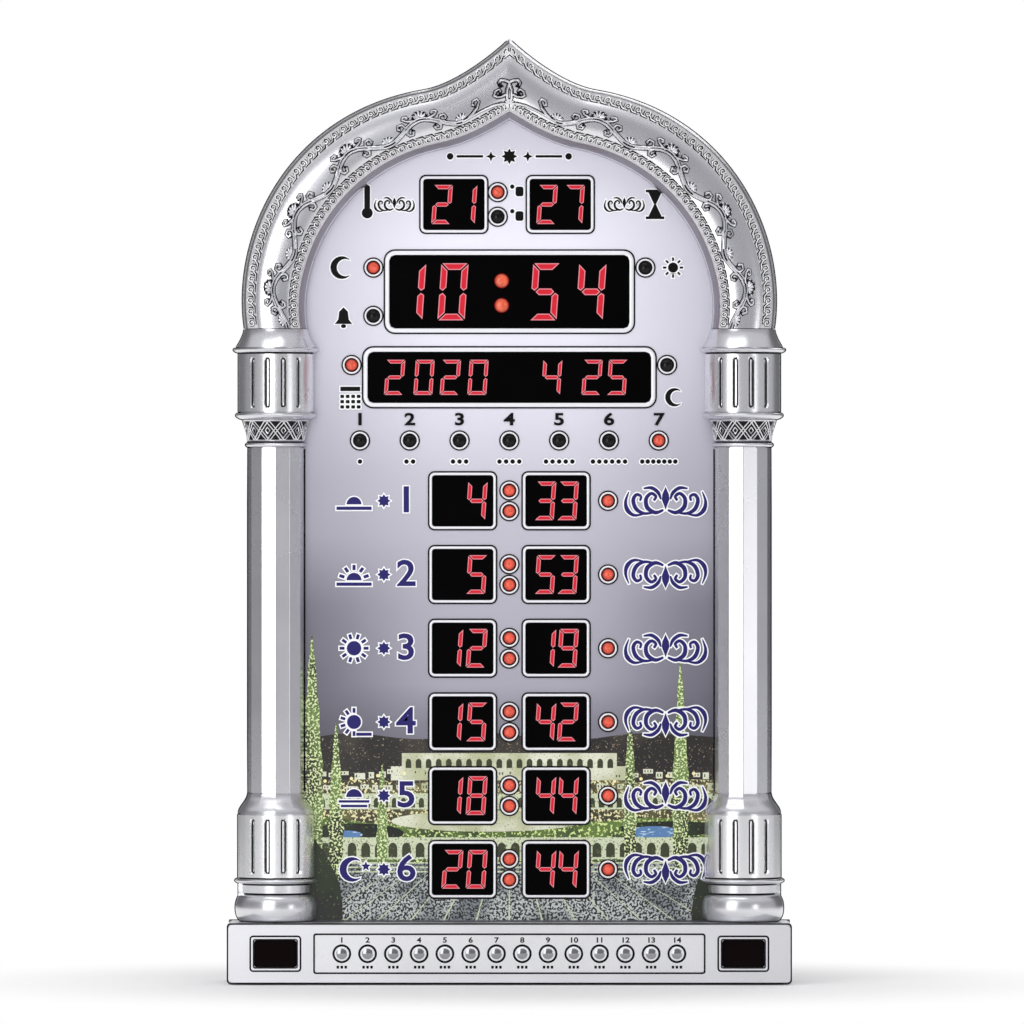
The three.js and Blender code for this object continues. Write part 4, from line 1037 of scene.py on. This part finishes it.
def column_levels():
    """(height, radius, faceted) from the foot up."""
    turns = spaced(0, math.pi, 14)
    levels = [(27.9 + 12.3 * (1 - math.cos(turn)) / 2, 15.0 + 3.6 * math.sin(turn) ** 0.8) for turn in turns]
    lower, upper = [(top, radius) for _, top, radius in DRUMS]
    steps = [
        (crevice, (40.9, 15.5)), (eased, (44.4, 15.6), 5, lambda t: t), (crevice, (45.1, 16.4)),
        (lip, (47.4, 17.4), 18.8), (crevice, (48.0, 17.4)), (drum, lower), (crevice, (77.0, 17.2)),
        (eased, (86.0, 13.0), 8, lambda t: (1 - math.cos(math.pi * t)) / 2), (crevice, (86.5, 12.9)),
        (eased, (243.4, 12.9), 6, lambda t: 0), (crevice, (243.9, 12.9)), (lip, (245.9, 12.7), 13.9, 6),
        (crevice, (246.5, 12.9)), (eased, (255.9, 14.9), 12, lambda t: t**1.6), (crevice, (256.5, 15.4)),
        (lip, (259.4, 17.2), 18.3), (crevice, (260.0, 17.2)), (drum, upper), (crevice, (286.9, 17.6)),
        (lip, (288.8, 19.0), 19.4, 6), (crevice, (289.3, 18.2)),
        (eased, (297.5, 14.6), 10, lambda t: 1 - (1 - t) ** 1.5),
    ]
    for shape, *values in steps:
        levels += shape(levels[-1], *values)
    return [(height, radius, SHAFT_FOOT < height < SHAFT_TOP) for height, radius in levels]


def groove(radius, angle, height):
    """How deep the flutes are at a place on a drum."""
    for low, high, _ in DRUMS:
        if low <= height <= high:
            for flute in FLUTE_ANGLES:
                across = (angle - flute) * radius
                along = max(0, low + 3.0 - height, height - high + 3.0)
                away = math.hypot(across, along) / 1.3
                if away < 1:
                    return 1.5 * (1 - away**4)
    return 0


def on_column(side, angle, height, reach):
    return at(side * (COLUMN_X + reach * math.sin(angle)), height, RELIEF_DEPTH + reach * math.cos(angle))


def skirt_reach(height, radius):
    """The skirt runs straight up beside the narrow bands between the foot and the lower lip."""
    return max(radius, LIP_REACH) if 39.5 < height < 48.5 else radius


def column(side, name):
    rings = []
    for height, radius, is_faceted in column_levels():
        ring = []
        for share in spaced(0, 1, 180):
            angle = math.pi * (share - 0.5)
            blend = min(1, max(0, (height - 76.9) / 9.4)) if is_faceted else 0
            reach = radius * (1 - blend + blend * facet(angle + math.pi / 2))
            ring.append(on_column(side, angle, height, reach - groove(radius, angle, height)))
        skirt = skirt_reach(height, radius * (facet(math.pi) if is_faceted else 1))
        corners = ((skirt, RELIEF_DEPTH - 0.1), (skirt, SKIRT_BACK), (9.4, SKIRT_BACK), (9.4, RELIEF_DEPTH))
        rings.append(ring + [at(side * (COLUMN_X + reach), height, depth) for reach, depth in corners])
    return lofted(name, rings)


def silver(name, colour, roughness, metallic=0.92, bands=()):
    """Vacuum-metallised plastic under lacquer: bright metal, slightly uneven, darker in fine scuffs.

    A band (low, high, tone) is painted a tone of its own between two heights, as a painted highlight.
    """
    material, tree, shader, coords = new_finish(name)
    cloud = noise(tree, coords, 30.0, 5.0)
    body = mixed(tree, cloud, toned(colour, 1 - 0.07), toned(colour, 1 + 0.07))
    height = node(tree, "SeparateXYZ", {"Vector": coords}).outputs["Z"]
    for low, high, tone in bands:
        above = stepped(tree, height, low * MM, (low + 0.3) * MM)
        below = stepped(tree, height, high * MM, (high - 0.3) * MM)
        body = mixed(tree, worked(tree, "MULTIPLY", above, below), body, tone)
    specks = stepped(tree, noise(tree, coords, 2600.0, 1.0), 0.66, 0.78)
    feed(tree, shader, {
        "Base Color": mixed(tree, specks, body, toned(colour, 0.75)),
        "Roughness": uneven(tree, cloud, roughness, 0.8, 1.25),
        "Normal": bumped(tree, noise(tree, coords, 420.0), 0.1, 0.05),
        "Metallic": metallic,
        "Coat Weight": 0.3,
        "Coat Roughness": 0.12,
    })
    return material


# Painted highlight: both drums are painted paler than the rest of the plating.
drums_painted_highlight = [(47.9, 76.6, (0.98, 0.98, 1.0, 1)), (259.9, 286.3, (0.94, 0.94, 0.96, 1))]
silver_plate = silver("silver_plated_moulding", (0.78, 0.78, 0.81, 1), 0.26, bands=drums_painted_highlight)
for side, word in ((-1, "left"), (1, "right")):
    moulding = fit(column(side, f"{word}_column_moulding"), silver_plate)
    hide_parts(f"column_{word}")


def tubes(name, lines, sides=1):
    """Fine raised ridges along lines of (point, radius in millimetres), as one piece."""
    curve = bpy.data.curves.new(name, "CURVE")
    curve.dimensions = "3D"
    curve.bevel_depth = MM
    curve.bevel_resolution = sides
    curve.use_fill_caps = True
    for line in lines:
        spline = curve.splines.new("POLY")
        spline.points.add(len(line) - 1)
        for point, (place, radius) in zip(spline.points, line):
            point.co = (*place, 1)
            point.radius = radius
    added(name, curve)
    bpy.ops.object.convert(target="MESH")
    bpy.ops.object.shade_smooth_by_angle(angle=math.radians(60))
    return bpy.context.object


RING_TURNS = [math.radians(degrees) for degrees in range(-88, 89, 4)]


def neck_point(side, angle, share):
    """A point on the neck's surface, a share of the way up."""
    height = NECK[0] + 0.3 + (NECK[1] - NECK[0] - 0.7) * share
    radius = SHAFT_RADIUS + 2.1 * min(1, max(0, (height - 246.5) / 9.7)) ** 1.6 + 0.12
    return on_column(side, angle, height, radius)


def neck_ground(side, name):
    """The sunk ground of the lattice, dark with painted shade."""
    rings = []
    for share in spaced(0, 1, 8):
        front = [neck_point(side, math.radians(degrees), share) for degrees in spaced(-89, 89, 40)]
        rings.append(front + [point + Vector((0, 0.4 * MM, 0)) for point in reversed(front)])
    return lofted(name, rings)


def neck_lattice(side, name, radius=0.34):
    """Crossing pairs of ridges, with a small diamond in every mesh, between two plain rings."""
    lines = []
    pitch, limit = math.radians(30), math.radians(88)
    shares = spaced(0, 1, 8)
    for cross, way, offset in itertools.product(range(-5, 6), (-1, 1), (-0.06, 0.06)):
        angles = [cross * pitch + way * (share - 0.5) * pitch + offset for share in shares]
        line = [(neck_point(side, a, share), radius) for a, share in zip(angles, shares) if abs(a) <= limit]
        if len(line) > 2:
            lines.append(line)
    for cross in range(-6, 6):
        corners = [(0, 1), (1, 0), (0, -1), (-1, 0), (0, 1)]
        diamond = [((cross + 0.5) * pitch + 0.085 * dx, 0.5 + 0.17 * dy) for dx, dy in corners]
        if all(abs(angle) <= limit for angle, _ in diamond):
            lines.append([(neck_point(side, angle, share), radius) for angle, share in diamond])
    for share in (0.0, 1.0):
        lines.append([(neck_point(side, turn, share), 0.4) for turn in RING_TURNS])
    return tubes(name, lines, sides=0)


def flute_inlays(side, name):
    """Painted shade: dark lines round the floors of the flutes."""
    lines = []
    for (low, high, radius), flute in itertools.product(DRUMS, FLUTE_ANGLES):
        loop = []
        for end, way in ((high - 3, 1), (low + 3, -1)):
            for across, up in arc(0, 0, 0.86 * way, 0.86 * way, 0, 180, 6):
                loop.append((on_column(side, flute + across / radius, end + up, radius - 1.12), 0.4))
        lines.append(loop + loop[:1])
    return tubes(name, lines, sides=0)


def crease_rings(side, name):
    """Painted shade: dark rings at the bottom of the creases above and below the lips."""
    creases = ((40.55, 14.4), (44.75, 15.0), (47.7, 16.8), (246.2, 12.1), (256.2, 14.3), (286.55, 16.65))
    lines = [[(on_column(side, turn, *crease), 0.4) for turn in RING_TURNS] for crease in creases]
    return tubes(name, lines, sides=0)


def edge_beads(side, name):
    """Painted shade as fine dark beads: between shaft and face, and where the round springs from its skirt.
    """
    inner = side * (COLUMN_X - SHAFT_RADIUS)
    by_face = [(at(inner, height, RELIEF_DEPTH + 0.1), 0.42) for height in (87.0, 165.0, 243.0)]
    by_skirt = [
        (at(side * (COLUMN_X + skirt_reach(height, radius)), height, RELIEF_DEPTH - 0.6), 0.5)
        for height, radius, _ in column_levels()
    ]
    return tubes(name, [by_face, by_skirt])


# Painted shade: a dark finish for the flute floors, the creases and the neck's ground.
crease_painted_shade = moulded("crease_painted_shade_lacquer", tint(26, 25, 29), 0.4, metallic=0.3, gleam=0.15)
# Painted shade: a matt black for dark lines along the edges of the columns and the arch.
painted_shade_black = moulded("painted_shade_matt_black", tint(16, 15, 17), 0.9, gleam=0.0)
for side, word in ((-1, "left"), (1, "right")):
    fit(flute_inlays(side, f"{word}_flute_painted_shade"), crease_painted_shade)
    fit(crease_rings(side, f"{word}_creases"), crease_painted_shade)
    fit(edge_beads(side, f"{word}_edge_beads"), painted_shade_black)
    fit(neck_ground(side, f"{word}_neck_ground"), crease_painted_shade)
    fit(neck_lattice(side, f"{word}_neck_lattice"), silver_plate)

# Arch
# A hollow plated moulding that stands on the two columns. Its crowned band carries, from the outside
# in, a row of hooked beads, a vine with curled leaves, and a running scroll beside the face.

ARCH_FOOT = 297.8
OUTER_HALF, OUTER_RISE = 120.7, 132.2
INNER_HALF, INNER_RISE = 91.9, 95.1
CROWN = 13.4
SQUARENESS = 2.35
OUTER_EDGE = [(1, 0), (1.052, 0.314), (0.848, 0.742), (0.325, 0.823), (0.205, 0.842), (0.065, 0.943), (0, 1)]
INNER_EDGE = [(1, 0), (1.056, 0.286), (0.853, 0.754), (0.331, 0.86), (0.177, 0.892), (0.07, 0.964), (0, 1)]


def edge_point(shares, half, rise, along):
    """A point on one edge of the arch: along is 0 at the foot, 1 at the bend and 2 at the tip."""
    first = 0 if along < 1 else 3
    t = along - (0 if along < 1 else 1)
    weights = ((1 - t) ** 3, 3 * t * (1 - t) ** 2, 3 * t * t * (1 - t), t**3)
    x = sum(weight * shares[first + k][0] for k, weight in enumerate(weights))
    y = sum(weight * shares[first + k][1] for k, weight in enumerate(weights))
    return Vector((x * half, ARCH_FOOT + y * rise))


def band_height(across):
    """The crown's height above the relief plane, a share of the way across from the outer edge."""
    reach = min(1, abs(1 - 2 * across))
    return CROWN * (1 - reach**SQUARENESS) ** (1 / SQUARENESS)


def arch_point(side, along, across, lift=0.0):
    """A point on the arch's skin, or lifted off it."""
    outer = edge_point(OUTER_EDGE, OUTER_HALF, OUTER_RISE, along)
    inner = edge_point(INNER_EDGE, INNER_HALF, INNER_RISE, along)
    flat = outer.lerp(inner, across)
    place = at(side * flat.x, flat.y, RELIEF_DEPTH + band_height(across))
    if lift:
        place += arch_normal(side, along, across) * lift * MM
    return place


def arch_normal(side, along, across):
    step = 0.004
    low, high = max(0.012, across - step), min(0.988, across + step)
    start, end = max(0, along - step), min(2, along + step)
    over = arch_point(side, along, high) - arch_point(side, along, low)
    onward = arch_point(side, end, across) - arch_point(side, start, across)
    normal = over.cross(onward).normalized()
    return normal if normal.y < 0 else -normal


middle_line = [arch_point(1, along, 0.5) for along in spaced(0, 2, 400)]
run = [0.0]  # the length of the middle line up to each of its points
for start, end in zip(middle_line, middle_line[1:]):
    run.append(run[-1] + (end - start).length)
half_length = run[-1] / MM


def along_at(length):
    """The place along the arch, from 0 to 2, at a length on its middle line."""
    length = min(max(length * MM, 0), run[-1])
    k = next(k for k in range(len(run) - 1) if run[k + 1] >= length)
    return 2 * (k + (length - run[k]) / (run[k + 1] - run[k])) / (len(run) - 1)


def over_the_tip(count):
    """(side, length) pairs from one foot over the tip to the other foot."""
    lengths = spaced(0, half_length, count)
    return [(1, length) for length in lengths] + [(-1, length) for length in lengths[-2::-1]]


def arch_moulding():
    cosines = [math.cos(turn) for turn in spaced(0, math.pi, 40)]
    crown = [(1 - math.copysign(abs(cosine) ** 0.9, cosine)) / 2 for cosine in cosines]
    cavity = [(1 - 0.86 * math.cos(turn)) / 2 for turn in spaced(0, math.pi, 12)[::-1]]
    rings = []
    for side, length in over_the_tip(90):
        along = along_at(length)
        ring = [arch_point(side, along, across) for across in crown]
        for across in cavity:
            skin = arch_point(side, along, across)
            ring.append(skin + Vector((0, min(2.0, band_height(across)) * MM, 0)))
        for across in (0.07, 0.0):
            edge = arch_point(side, along, across)
            ring.append(Vector((edge.x, at(0, 0, SKIRT_BACK).y, edge.z)))
        rings.append(ring)
    return lofted("arch_moulding", rings)


moulding = fit(arch_moulding(), silver_plate)
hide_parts("arch_frame")


def on_band(side, length, across, lift=0.0):
    """A point on the band by its length along the middle line in millimetres and its share across."""
    if length > half_length:
        side, length = -side, 2 * half_length - length
    return arch_point(side, along_at(length), across, lift)


def traced(side, points, lift=0.1):
    """A ridge line from (length, share across, radius) triples."""
    return [(on_band(side, length, across, lift), radius) for length, across, radius in points]


def row_ground(name, low, high):
    """A narrow strip along the arch, toned as painted shade: the ground under a row of relief, and the inner
    wall.
    """
    rings = []
    for side, length in over_the_tip(110):
        top = [on_band(side, length, across, 0.07) for across in spaced(low, high, 4)]
        rings.append(top + [point + Vector((0, 0.3 * MM, 0)) for point in reversed(top)])
    return lofted(name, rings)


def arch_bead(name):
    """Painted shade as a fine dark bead round the outer edge, where the crowned band springs from its skirt.
    """
    edge = [edge_point(OUTER_EDGE, OUTER_HALF, OUTER_RISE, along) for along in spaced(0, 2, 90)]
    spots = [spot for spot in edge if spot.y < 429.4]
    depth = RELIEF_DEPTH - 0.6
    return tubes(name, [[(at(side * spot.x, spot.y, depth), 0.5) for spot in spots] for side in (-1, 1)])


def running_scroll(side, pitch, across, half_width, radius, way, lift):
    """A row of linked spirals: each curls round its own middle, and its tail runs on to the next."""
    lines = []
    count = round(half_length / pitch)
    pitch = half_length / count
    for number in range(count):
        centre = (number + 0.5) * pitch
        points = [
            (centre + pitch * 0.84, across + way * half_width * 0.1, radius * 0.9),
            (centre + pitch * 0.5, across - way * half_width * 0.85, radius),
        ]
        for step in range(10):
            turn = math.pi * (1.5 - 2.9 * step / 9)
            reach = 1 - 0.78 * step / 9
            along, rise = -pitch * 0.4 * reach * math.cos(turn), way * half_width * reach * math.sin(turn)
            points.append((centre + along, across + rise, radius * (1 - 0.25 * step / 9)))
        lines.append(traced(side, points, lift))
    return lines


def curl(start, across, reach, rise, radius=0.62):
    """A tendril that leaves a stem, swings out along the arch and across it, and curls in."""
    path = [
        (0, 0, 0.8), (0.35, 0.1, 1.0), (0.75, 0.36, 1.05), (0.98, 0.72, 1.0),
        (0.86, 1.0, 0.95), (0.58, 1.0, 0.9), (0.5, 0.76, 1.1), (0.66, 0.68, 1.5),
    ]
    return [(start + reach * u, across + rise * v, radius * size) for u, v, size in path]


def fan(start, across, way, size=1.0, radius=0.8):
    """Five short leaves that spread from one place, each widest near its tip."""
    lines = []
    for number in range(5):
        turn = math.radians(-66 + 33 * number)
        leaf = []
        for reach, swell in ((0.1, 0.4), (0.5, 0.8), (0.82, 1.15), (1.0, 0.45)):
            rise = way * (0.012 + size * reach * 0.13 * math.cos(turn))
            leaf.append((start + size * reach * 4.6 * math.sin(turn), across + rise, radius * swell))
        lines.append(leaf)
    return lines


def vine():
    """The stem swings from the inner scroll to the middle of the band and back, five times a side."""
    lines = []
    period = half_length / 4.75
    swing = lambda length: 0.585 + 0.11 * math.cos(2 * math.pi * length / period)
    for offset in (-0.022, 0.022):
        stem = spaced(0, period * 4.02, 100)
        lines.append([(length, swing(length) + offset, 0.46) for length in stem])
    for number in range(5):
        crest, trough = period * (number + 0.5), period * number
        if crest < half_length - 24:
            lines += fan(crest, swing(crest) - 0.02, -1, 0.88)
            for start, lift, reach, rise, radius in ((2, 0.03, 6.4, 0.17, 0.62), (2.5, 0, 5.6, -0.1, 0.55)):
                across = swing(crest) + lift
                lines += [curl(crest + way * start, across, way * reach, rise, radius) for way in (-1, 1)]
        if trough < half_length - 12:
            lines += fan(max(trough, 4), swing(trough) - 0.03, -1, 0.72, 0.66)
            lines.append(curl(trough + 3, swing(trough) - 0.02, 7.2, -0.2, 0.6))
            if trough > 4:
                lines.append(curl(trough - 3, swing(trough) - 0.02, -7.2, -0.2, 0.6))
    return lines


def palmette():
    """Half of the spray at the tip: crossing stems that end in outward curls, and a level tendril."""
    stem = [
        (-0.5, 0.8, 0.5), (-1.5, 0.72, 0.6), (-1.4, 0.62, 0.65), (0.3, 0.54, 0.7), (2.8, 0.48, 0.7),
        (4.8, 0.44, 0.7), (5.8, 0.46, 0.8), (5.4, 0.505, 0.9), (4.4, 0.5, 0.95),
    ]
    tendril = [(-0.9, 0.79, 0.5), (-5, 0.74, 0.6), (-10, 0.7, 0.55), (-17, 0.675, 0.5), (-27, 0.69, 0.45)]
    from_tip = lambda line: [(half_length + length, across, radius) for length, across, radius in line]
    return [from_tip(stem), curl(half_length - 1.8, 0.67, -7.2, -0.13, 0.72), from_tip(tendril)]


# Painted shade: a darker purple-grey strip on the arch's inner wall, beside the face.
silver_painted_shade = silver("silver_painted_shaded_wall", (0.4, 0.385, 0.43, 1), 0.55)
# Painted shade: a darker, matt copy of the plating for the ground under each row of relief.
silver_row_painted_shade = silver("silver_matt_row_painted_shade", (0.7, 0.69, 0.71, 1), 0.5, metallic=0.3)
# Painted shadow: wide dark tubes under the scroll rows and the vine, showing as dark lines beside each ridge.
relief_painted_shadow = moulded("relief_painted_shadow_matt", tint(28, 27, 30), 0.8, gleam=0.0)
# Painted highlight: a paler, less metallic copy of the plating for the ridges of the scroll rows.
silver_beads_painted_highlight = silver("silver_pale_beads_painted_highlight", (0.9, 0.9, 0.92, 1), 0.4, metallic=0.4)
fit(row_ground("arch_inner_wall_painted_shade", 0.9, 0.998), silver_painted_shade)
fit(row_ground("arch_scroll_ground", 0.735, 0.885), silver_row_painted_shade)
fit(row_ground("arch_edge_ground", 0.022, 0.225), silver_row_painted_shade)
fit(arch_bead("arch_edge_painted_shade"), painted_shade_black)
scroll_rows = [
    ("arch_inner_scroll", 4.75, 0.81, 0.062, 0.54, 1),
    ("arch_edge_scroll", 4.4, 0.142, 0.064, 0.52, -1),
]
for name, pitch, across, half_width, radius, way in scroll_rows:
    looks = [(name, 1, 0.25, 0, silver_beads_painted_highlight), (f"{name}_outline", 1.85, -0.35, 2, relief_painted_shadow)]
    for piece_name, swell, lift, sides, finish in looks:
        row = (pitch, across, half_width, radius * swell, way, lift)
        ridges = [line for side in (-1, 1) for line in running_scroll(side, *row)]
        fit(tubes(piece_name, ridges, sides), finish)
stems = [(side, line) for side in (-1, 1) for line in vine() + palmette()]
relief = [traced(side, line, 0.3) for side, line in stems]
# Painted shadow beside the vine's stems.
shadow = [traced(side, [(u, v, r * 1.8) for u, v, r in line], -0.35) for side, line in stems]
fit(tubes("arch_vine", relief), silver_plate)
fit(tubes("arch_vine_painted_shadow", shadow), relief_painted_shadow)

# Base housing
# A plated box open to the rear, with a recess for the button strip and a raised frame round each dark
# window for the receiver and the light sensor.

base_silver = silver("silver_plated_base", (0.84, 0.84, 0.87, 1), 0.4)
dress(base_silver, "base_housing")
pane = moulded("smoked_red_pane", tint(10, 3, 4), 0.12, mottle=0.4, mottle_scale=90, grain=0.03, gleam=0.04)
dress(pane, "receiver_window", "light_sensor_window")
BASE_FRONT = 50.0
BASE_MIDDLE = 13.8
SENSOR_RIM_FRONT = 50.6


def thin_line(name, painted_shadow, depth, width):
    """A printed line just inside an outline."""
    return rimmed(name, painted_shadow, depth - 0.05, [(0.02, 0.12), (width, 0), (0.02, -0.1)])


sensor_sizes = (((23.6, 16.6, 1.6), (BASE_FRONT, 0.8)), ((20.5, 13.5, 1.0), (SENSOR_RIM_FRONT, 0.62)))
sensor_lines = [
    thin_line(f"sensor_line_{side}", rounded(side * 106.2, BASE_MIDDLE, *size, 3), *line)
    for side in (-1, 1)
    for size, line in sensor_sizes
]
fit(joined("sensor_outlines", sensor_lines), print_and_shade_line_ink)
# Painted shade: a black line round the front edge of the base.
base_outline = rounded(0, BASE_MIDDLE, 256.6, 27.6, 1.6, 3)
edge_painted_shade_line = rimmed("base_edge_painted_shade", base_outline, BASE_FRONT - 0.75, [(0.62, 0.62), (0.02, -0.3)])
fit(edge_painted_shade_line, print_and_shade_line_ink)

# Button strip and buttons
# A plated plate that lies in the base's recess inside a black line, with fourteen chromed buttons in
# black-edged holes. Each button is pressed against the spring of its own switch.

STRIP_FRONT = 49.8
STRIP_WIDTH, STRIP_HEIGHT = 176.6, 17.0
BUTTON_PITCH = 11.7
BUTTON_RADIUS = 3.3
strip_silver = silver("silver_plated_strip", (0.86, 0.86, 0.88, 1), 0.45)
dress(strip_silver, "button_strip")
strip_edge = rounded(0, BASE_MIDDLE, STRIP_WIDTH + 1.5, STRIP_HEIGHT + 1.5, 1.2, 3)
fit(thin_line("strip_outline", strip_edge, BASE_FRONT, 0.75), print_and_shade_line_ink)
button_places = [((number - 6.5) * BUTTON_PITCH, BASE_MIDDLE) for number in range(14)]
hole_ring = thin_line("hole_ring", ellipse(0, 0, 4.3, 4.3, 28), STRIP_FRONT, 0.86)
repeated(hole_ring, ("button_hole_lines", button_places, print_and_shade_line_ink, "part_black"))
chrome = silver("button_chrome", (0.36, 0.36, 0.38, 1), 0.07)
print_depths = (STRIP_FRONT - 0.02, STRIP_FRONT + 0.05)
FLANGE_RADIUS = BUTTON_RADIUS + 1
cap_rings = [(FLANGE_RADIUS, 47.3), (FLANGE_RADIUS, 48.3), (BUTTON_RADIUS, 48.31), (BUTTON_RADIUS, 50.4)]
cap_turns = (0.25, 0.5, 0.75, 1.0, 1.25, 1.45)
cap_rings += [(BUTTON_RADIUS * math.cos(turn), 50.4 + 1.2 * math.sin(turn)) for turn in cap_turns]
collar_roll = [(0.02, 0.42), (0.1, 0.19), (0.3, 0.26), (0.36, 0.19), (0.05, -0.3)]
numbers = []
for index, (x, height) in enumerate(button_places, start=1):
    button = f"button_{index:02d}"
    cap = fit(stacked(f"button_cap_{index:02d}", 32, x, height, cap_rings), chrome, button)
    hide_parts(button)
    collar = rimmed(f"button_rim_{index:02d}", ellipse(x, height, 3.29, 3.29, 32), 50.2, collar_roll)
    fit(collar, rim_foil, button)
    label = (str(index), x, height + 6.1, 3.3)
    numbers.append(numbered(f"strip_number_{index}", *label, *print_depths, grow=0.1, wide=1.2))
fit(joined("strip_numbers", numbers), mark_black)
dash_places = [x + 1.8 * k for x, _ in button_places for k in (-1, 0, 1)]
dashes = [rounded(x, BASE_MIDDLE - 6.1, 1.15, 1.3, 0.2, 2) for x in dash_places]
fit(drawn("strip_dashes", dashes, *print_depths), mark_black)

# Studio
# A pale floor that fades into a white ground, a soft grey room that the silver mirrors, soft lights at
# the sides, above and behind, and a camera straight in front.


def stage_finish(name, colour):
    """A pale matt ground that keeps shadows near the object and is an even white further off."""
    material, tree, shader, coords = new_finish(name)
    pale = mixed(tree, noise(tree, coords, 3.0), colour, toned(colour, 0.99))
    feed(tree, shader, {"Base Color": pale, "Roughness": 0.9})
    away = node(tree, "VectorMath", {0: coords}, operation="LENGTH").outputs["Value"]
    path = node(tree, "LightPath", {}).outputs
    direct = worked(tree, "MAXIMUM", path["Is Camera Ray"], path["Is Glossy Ray"])
    seen = worked(tree, "MAXIMUM", direct, path["Is Transmission Ray"])
    share = worked(tree, "MULTIPLY", stepped(tree, away, 0.12, 0.3), seen)
    white = node(tree, "Emission", {"Color": (1, 1, 1, 1), "Strength": 1.0}).outputs[0]
    blend = node(tree, "MixShader", {0: share, 1: shader.outputs[0], 2: white}).outputs[0]
    feed(tree, tree.nodes["Material Output"], {"Surface": blend})
    return material


bpy.ops.object.select_all(action="DESELECT")
bpy.ops.mesh.primitive_plane_add(size=2.2, location=(0, 0, -0.0005))
floor = bpy.context.object
floor.name = "floor"
floor.data.materials.append(stage_finish("floor_pale", tint(250, 250, 250)))
floor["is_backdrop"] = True

world = bpy.data.worlds.new("studio")
bpy.context.scene.world = world
world.use_nodes = True
surround = world.node_tree
path = node(surround, "LightPath", {}).outputs
direction = node(surround, "TexCoord", {}).outputs["Generated"]
compass = node(surround, "SeparateXYZ", {"Vector": direction}).outputs
rearward, upward = compass["Y"], compass["Z"]
sideways = stepped(surround, compass["X"], -0.4, 0.4)
walls = mixed(surround, sideways, (0.24, 0.24, 0.255, 1), (0.4, 0.4, 0.42, 1))
room = mixed(surround, stepped(surround, rearward, -0.85, -0.2), (0.34, 0.34, 0.36, 1), walls)
overhead = stepped(surround, upward, 0.35, 0.6)
above = worked(surround, "MULTIPLY", overhead, stepped(surround, upward, 0.97, 0.85))
room = mixed(surround, above, room, (0.62, 0.62, 0.64, 1))
room = mixed(surround, stepped(surround, rearward, 0.15, 0.45), room, (0.1, 0.1, 0.11, 1))
mirrored = mixed(surround, stepped(surround, rearward, 0.93, 0.99), room, (1, 1, 1, 1))
level = stepped(surround, worked(surround, "ABSOLUTE", upward), 0.45, 0.15)
dim = worked(surround, "MULTIPLY", stepped(surround, rearward, 0.1, 0.4), level)
daylight = mixed(surround, dim, (0.75, 0.75, 0.76, 1), (0.1, 0.1, 0.11, 1))
soft_room = mixed(surround, path["Is Glossy Ray"], daylight, mirrored)
seen = worked(surround, "MAXIMUM", path["Is Camera Ray"], path["Is Transmission Ray"])
backdrop = mixed(surround, seen, soft_room, (1, 1, 1, 1))
feed(surround, surround.nodes["Background"], {"Color": backdrop, "Strength": 1.0})


def soft_light(name, place, aim, width, height, power):
    light = bpy.data.lights.new(name, "AREA")
    light.shape, light.size, light.size_y, light.energy = "RECTANGLE", width, height, power
    lamp_object = added(name, light)
    lamp_object.location = place
    lamp_object.rotation_euler = (Vector(aim) - Vector(place)).to_track_quat("-Z", "Y").to_euler()


soft_light("light_left", (-0.38, -0.76, 0.29), (0, 0, 0.22), 0.4, 0.64, 1.95)
soft_light("light_right", (0.72, -0.85, 0.13), (0, 0, 0.15), 0.24, 0.36, 0.48)
soft_light("light_top", (-0.2, -0.55, 1.35), (0, 0, 0.25), 1.0, 0.35, 2.0)
soft_light("light_rear", (0.3, 1.2, 1.1), (0, 0, 0.2), 1.0, 0.5, 3.0)

CAMERA_DISTANCE = 5.0
FRAME_WIDTH = 0.4659
camera = bpy.data.cameras.new("camera")
camera.lens = 36 * CAMERA_DISTANCE / FRAME_WIDTH
camera.clip_end = 50
eye = added("camera", camera)
eye.location = (0.0012, -0.012 - CAMERA_DISTANCE, 0.2143)
eye.rotation_euler = (math.pi / 2, 0, 0)
bpy.context.scene.camera = eye
bpy.context.scene.view_settings.view_transform = "Standard"

plain = lambda box: [[float(value) for value in corner] for corner in box]
{"cad": plain(cad_bounds), "visual": plain(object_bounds())}
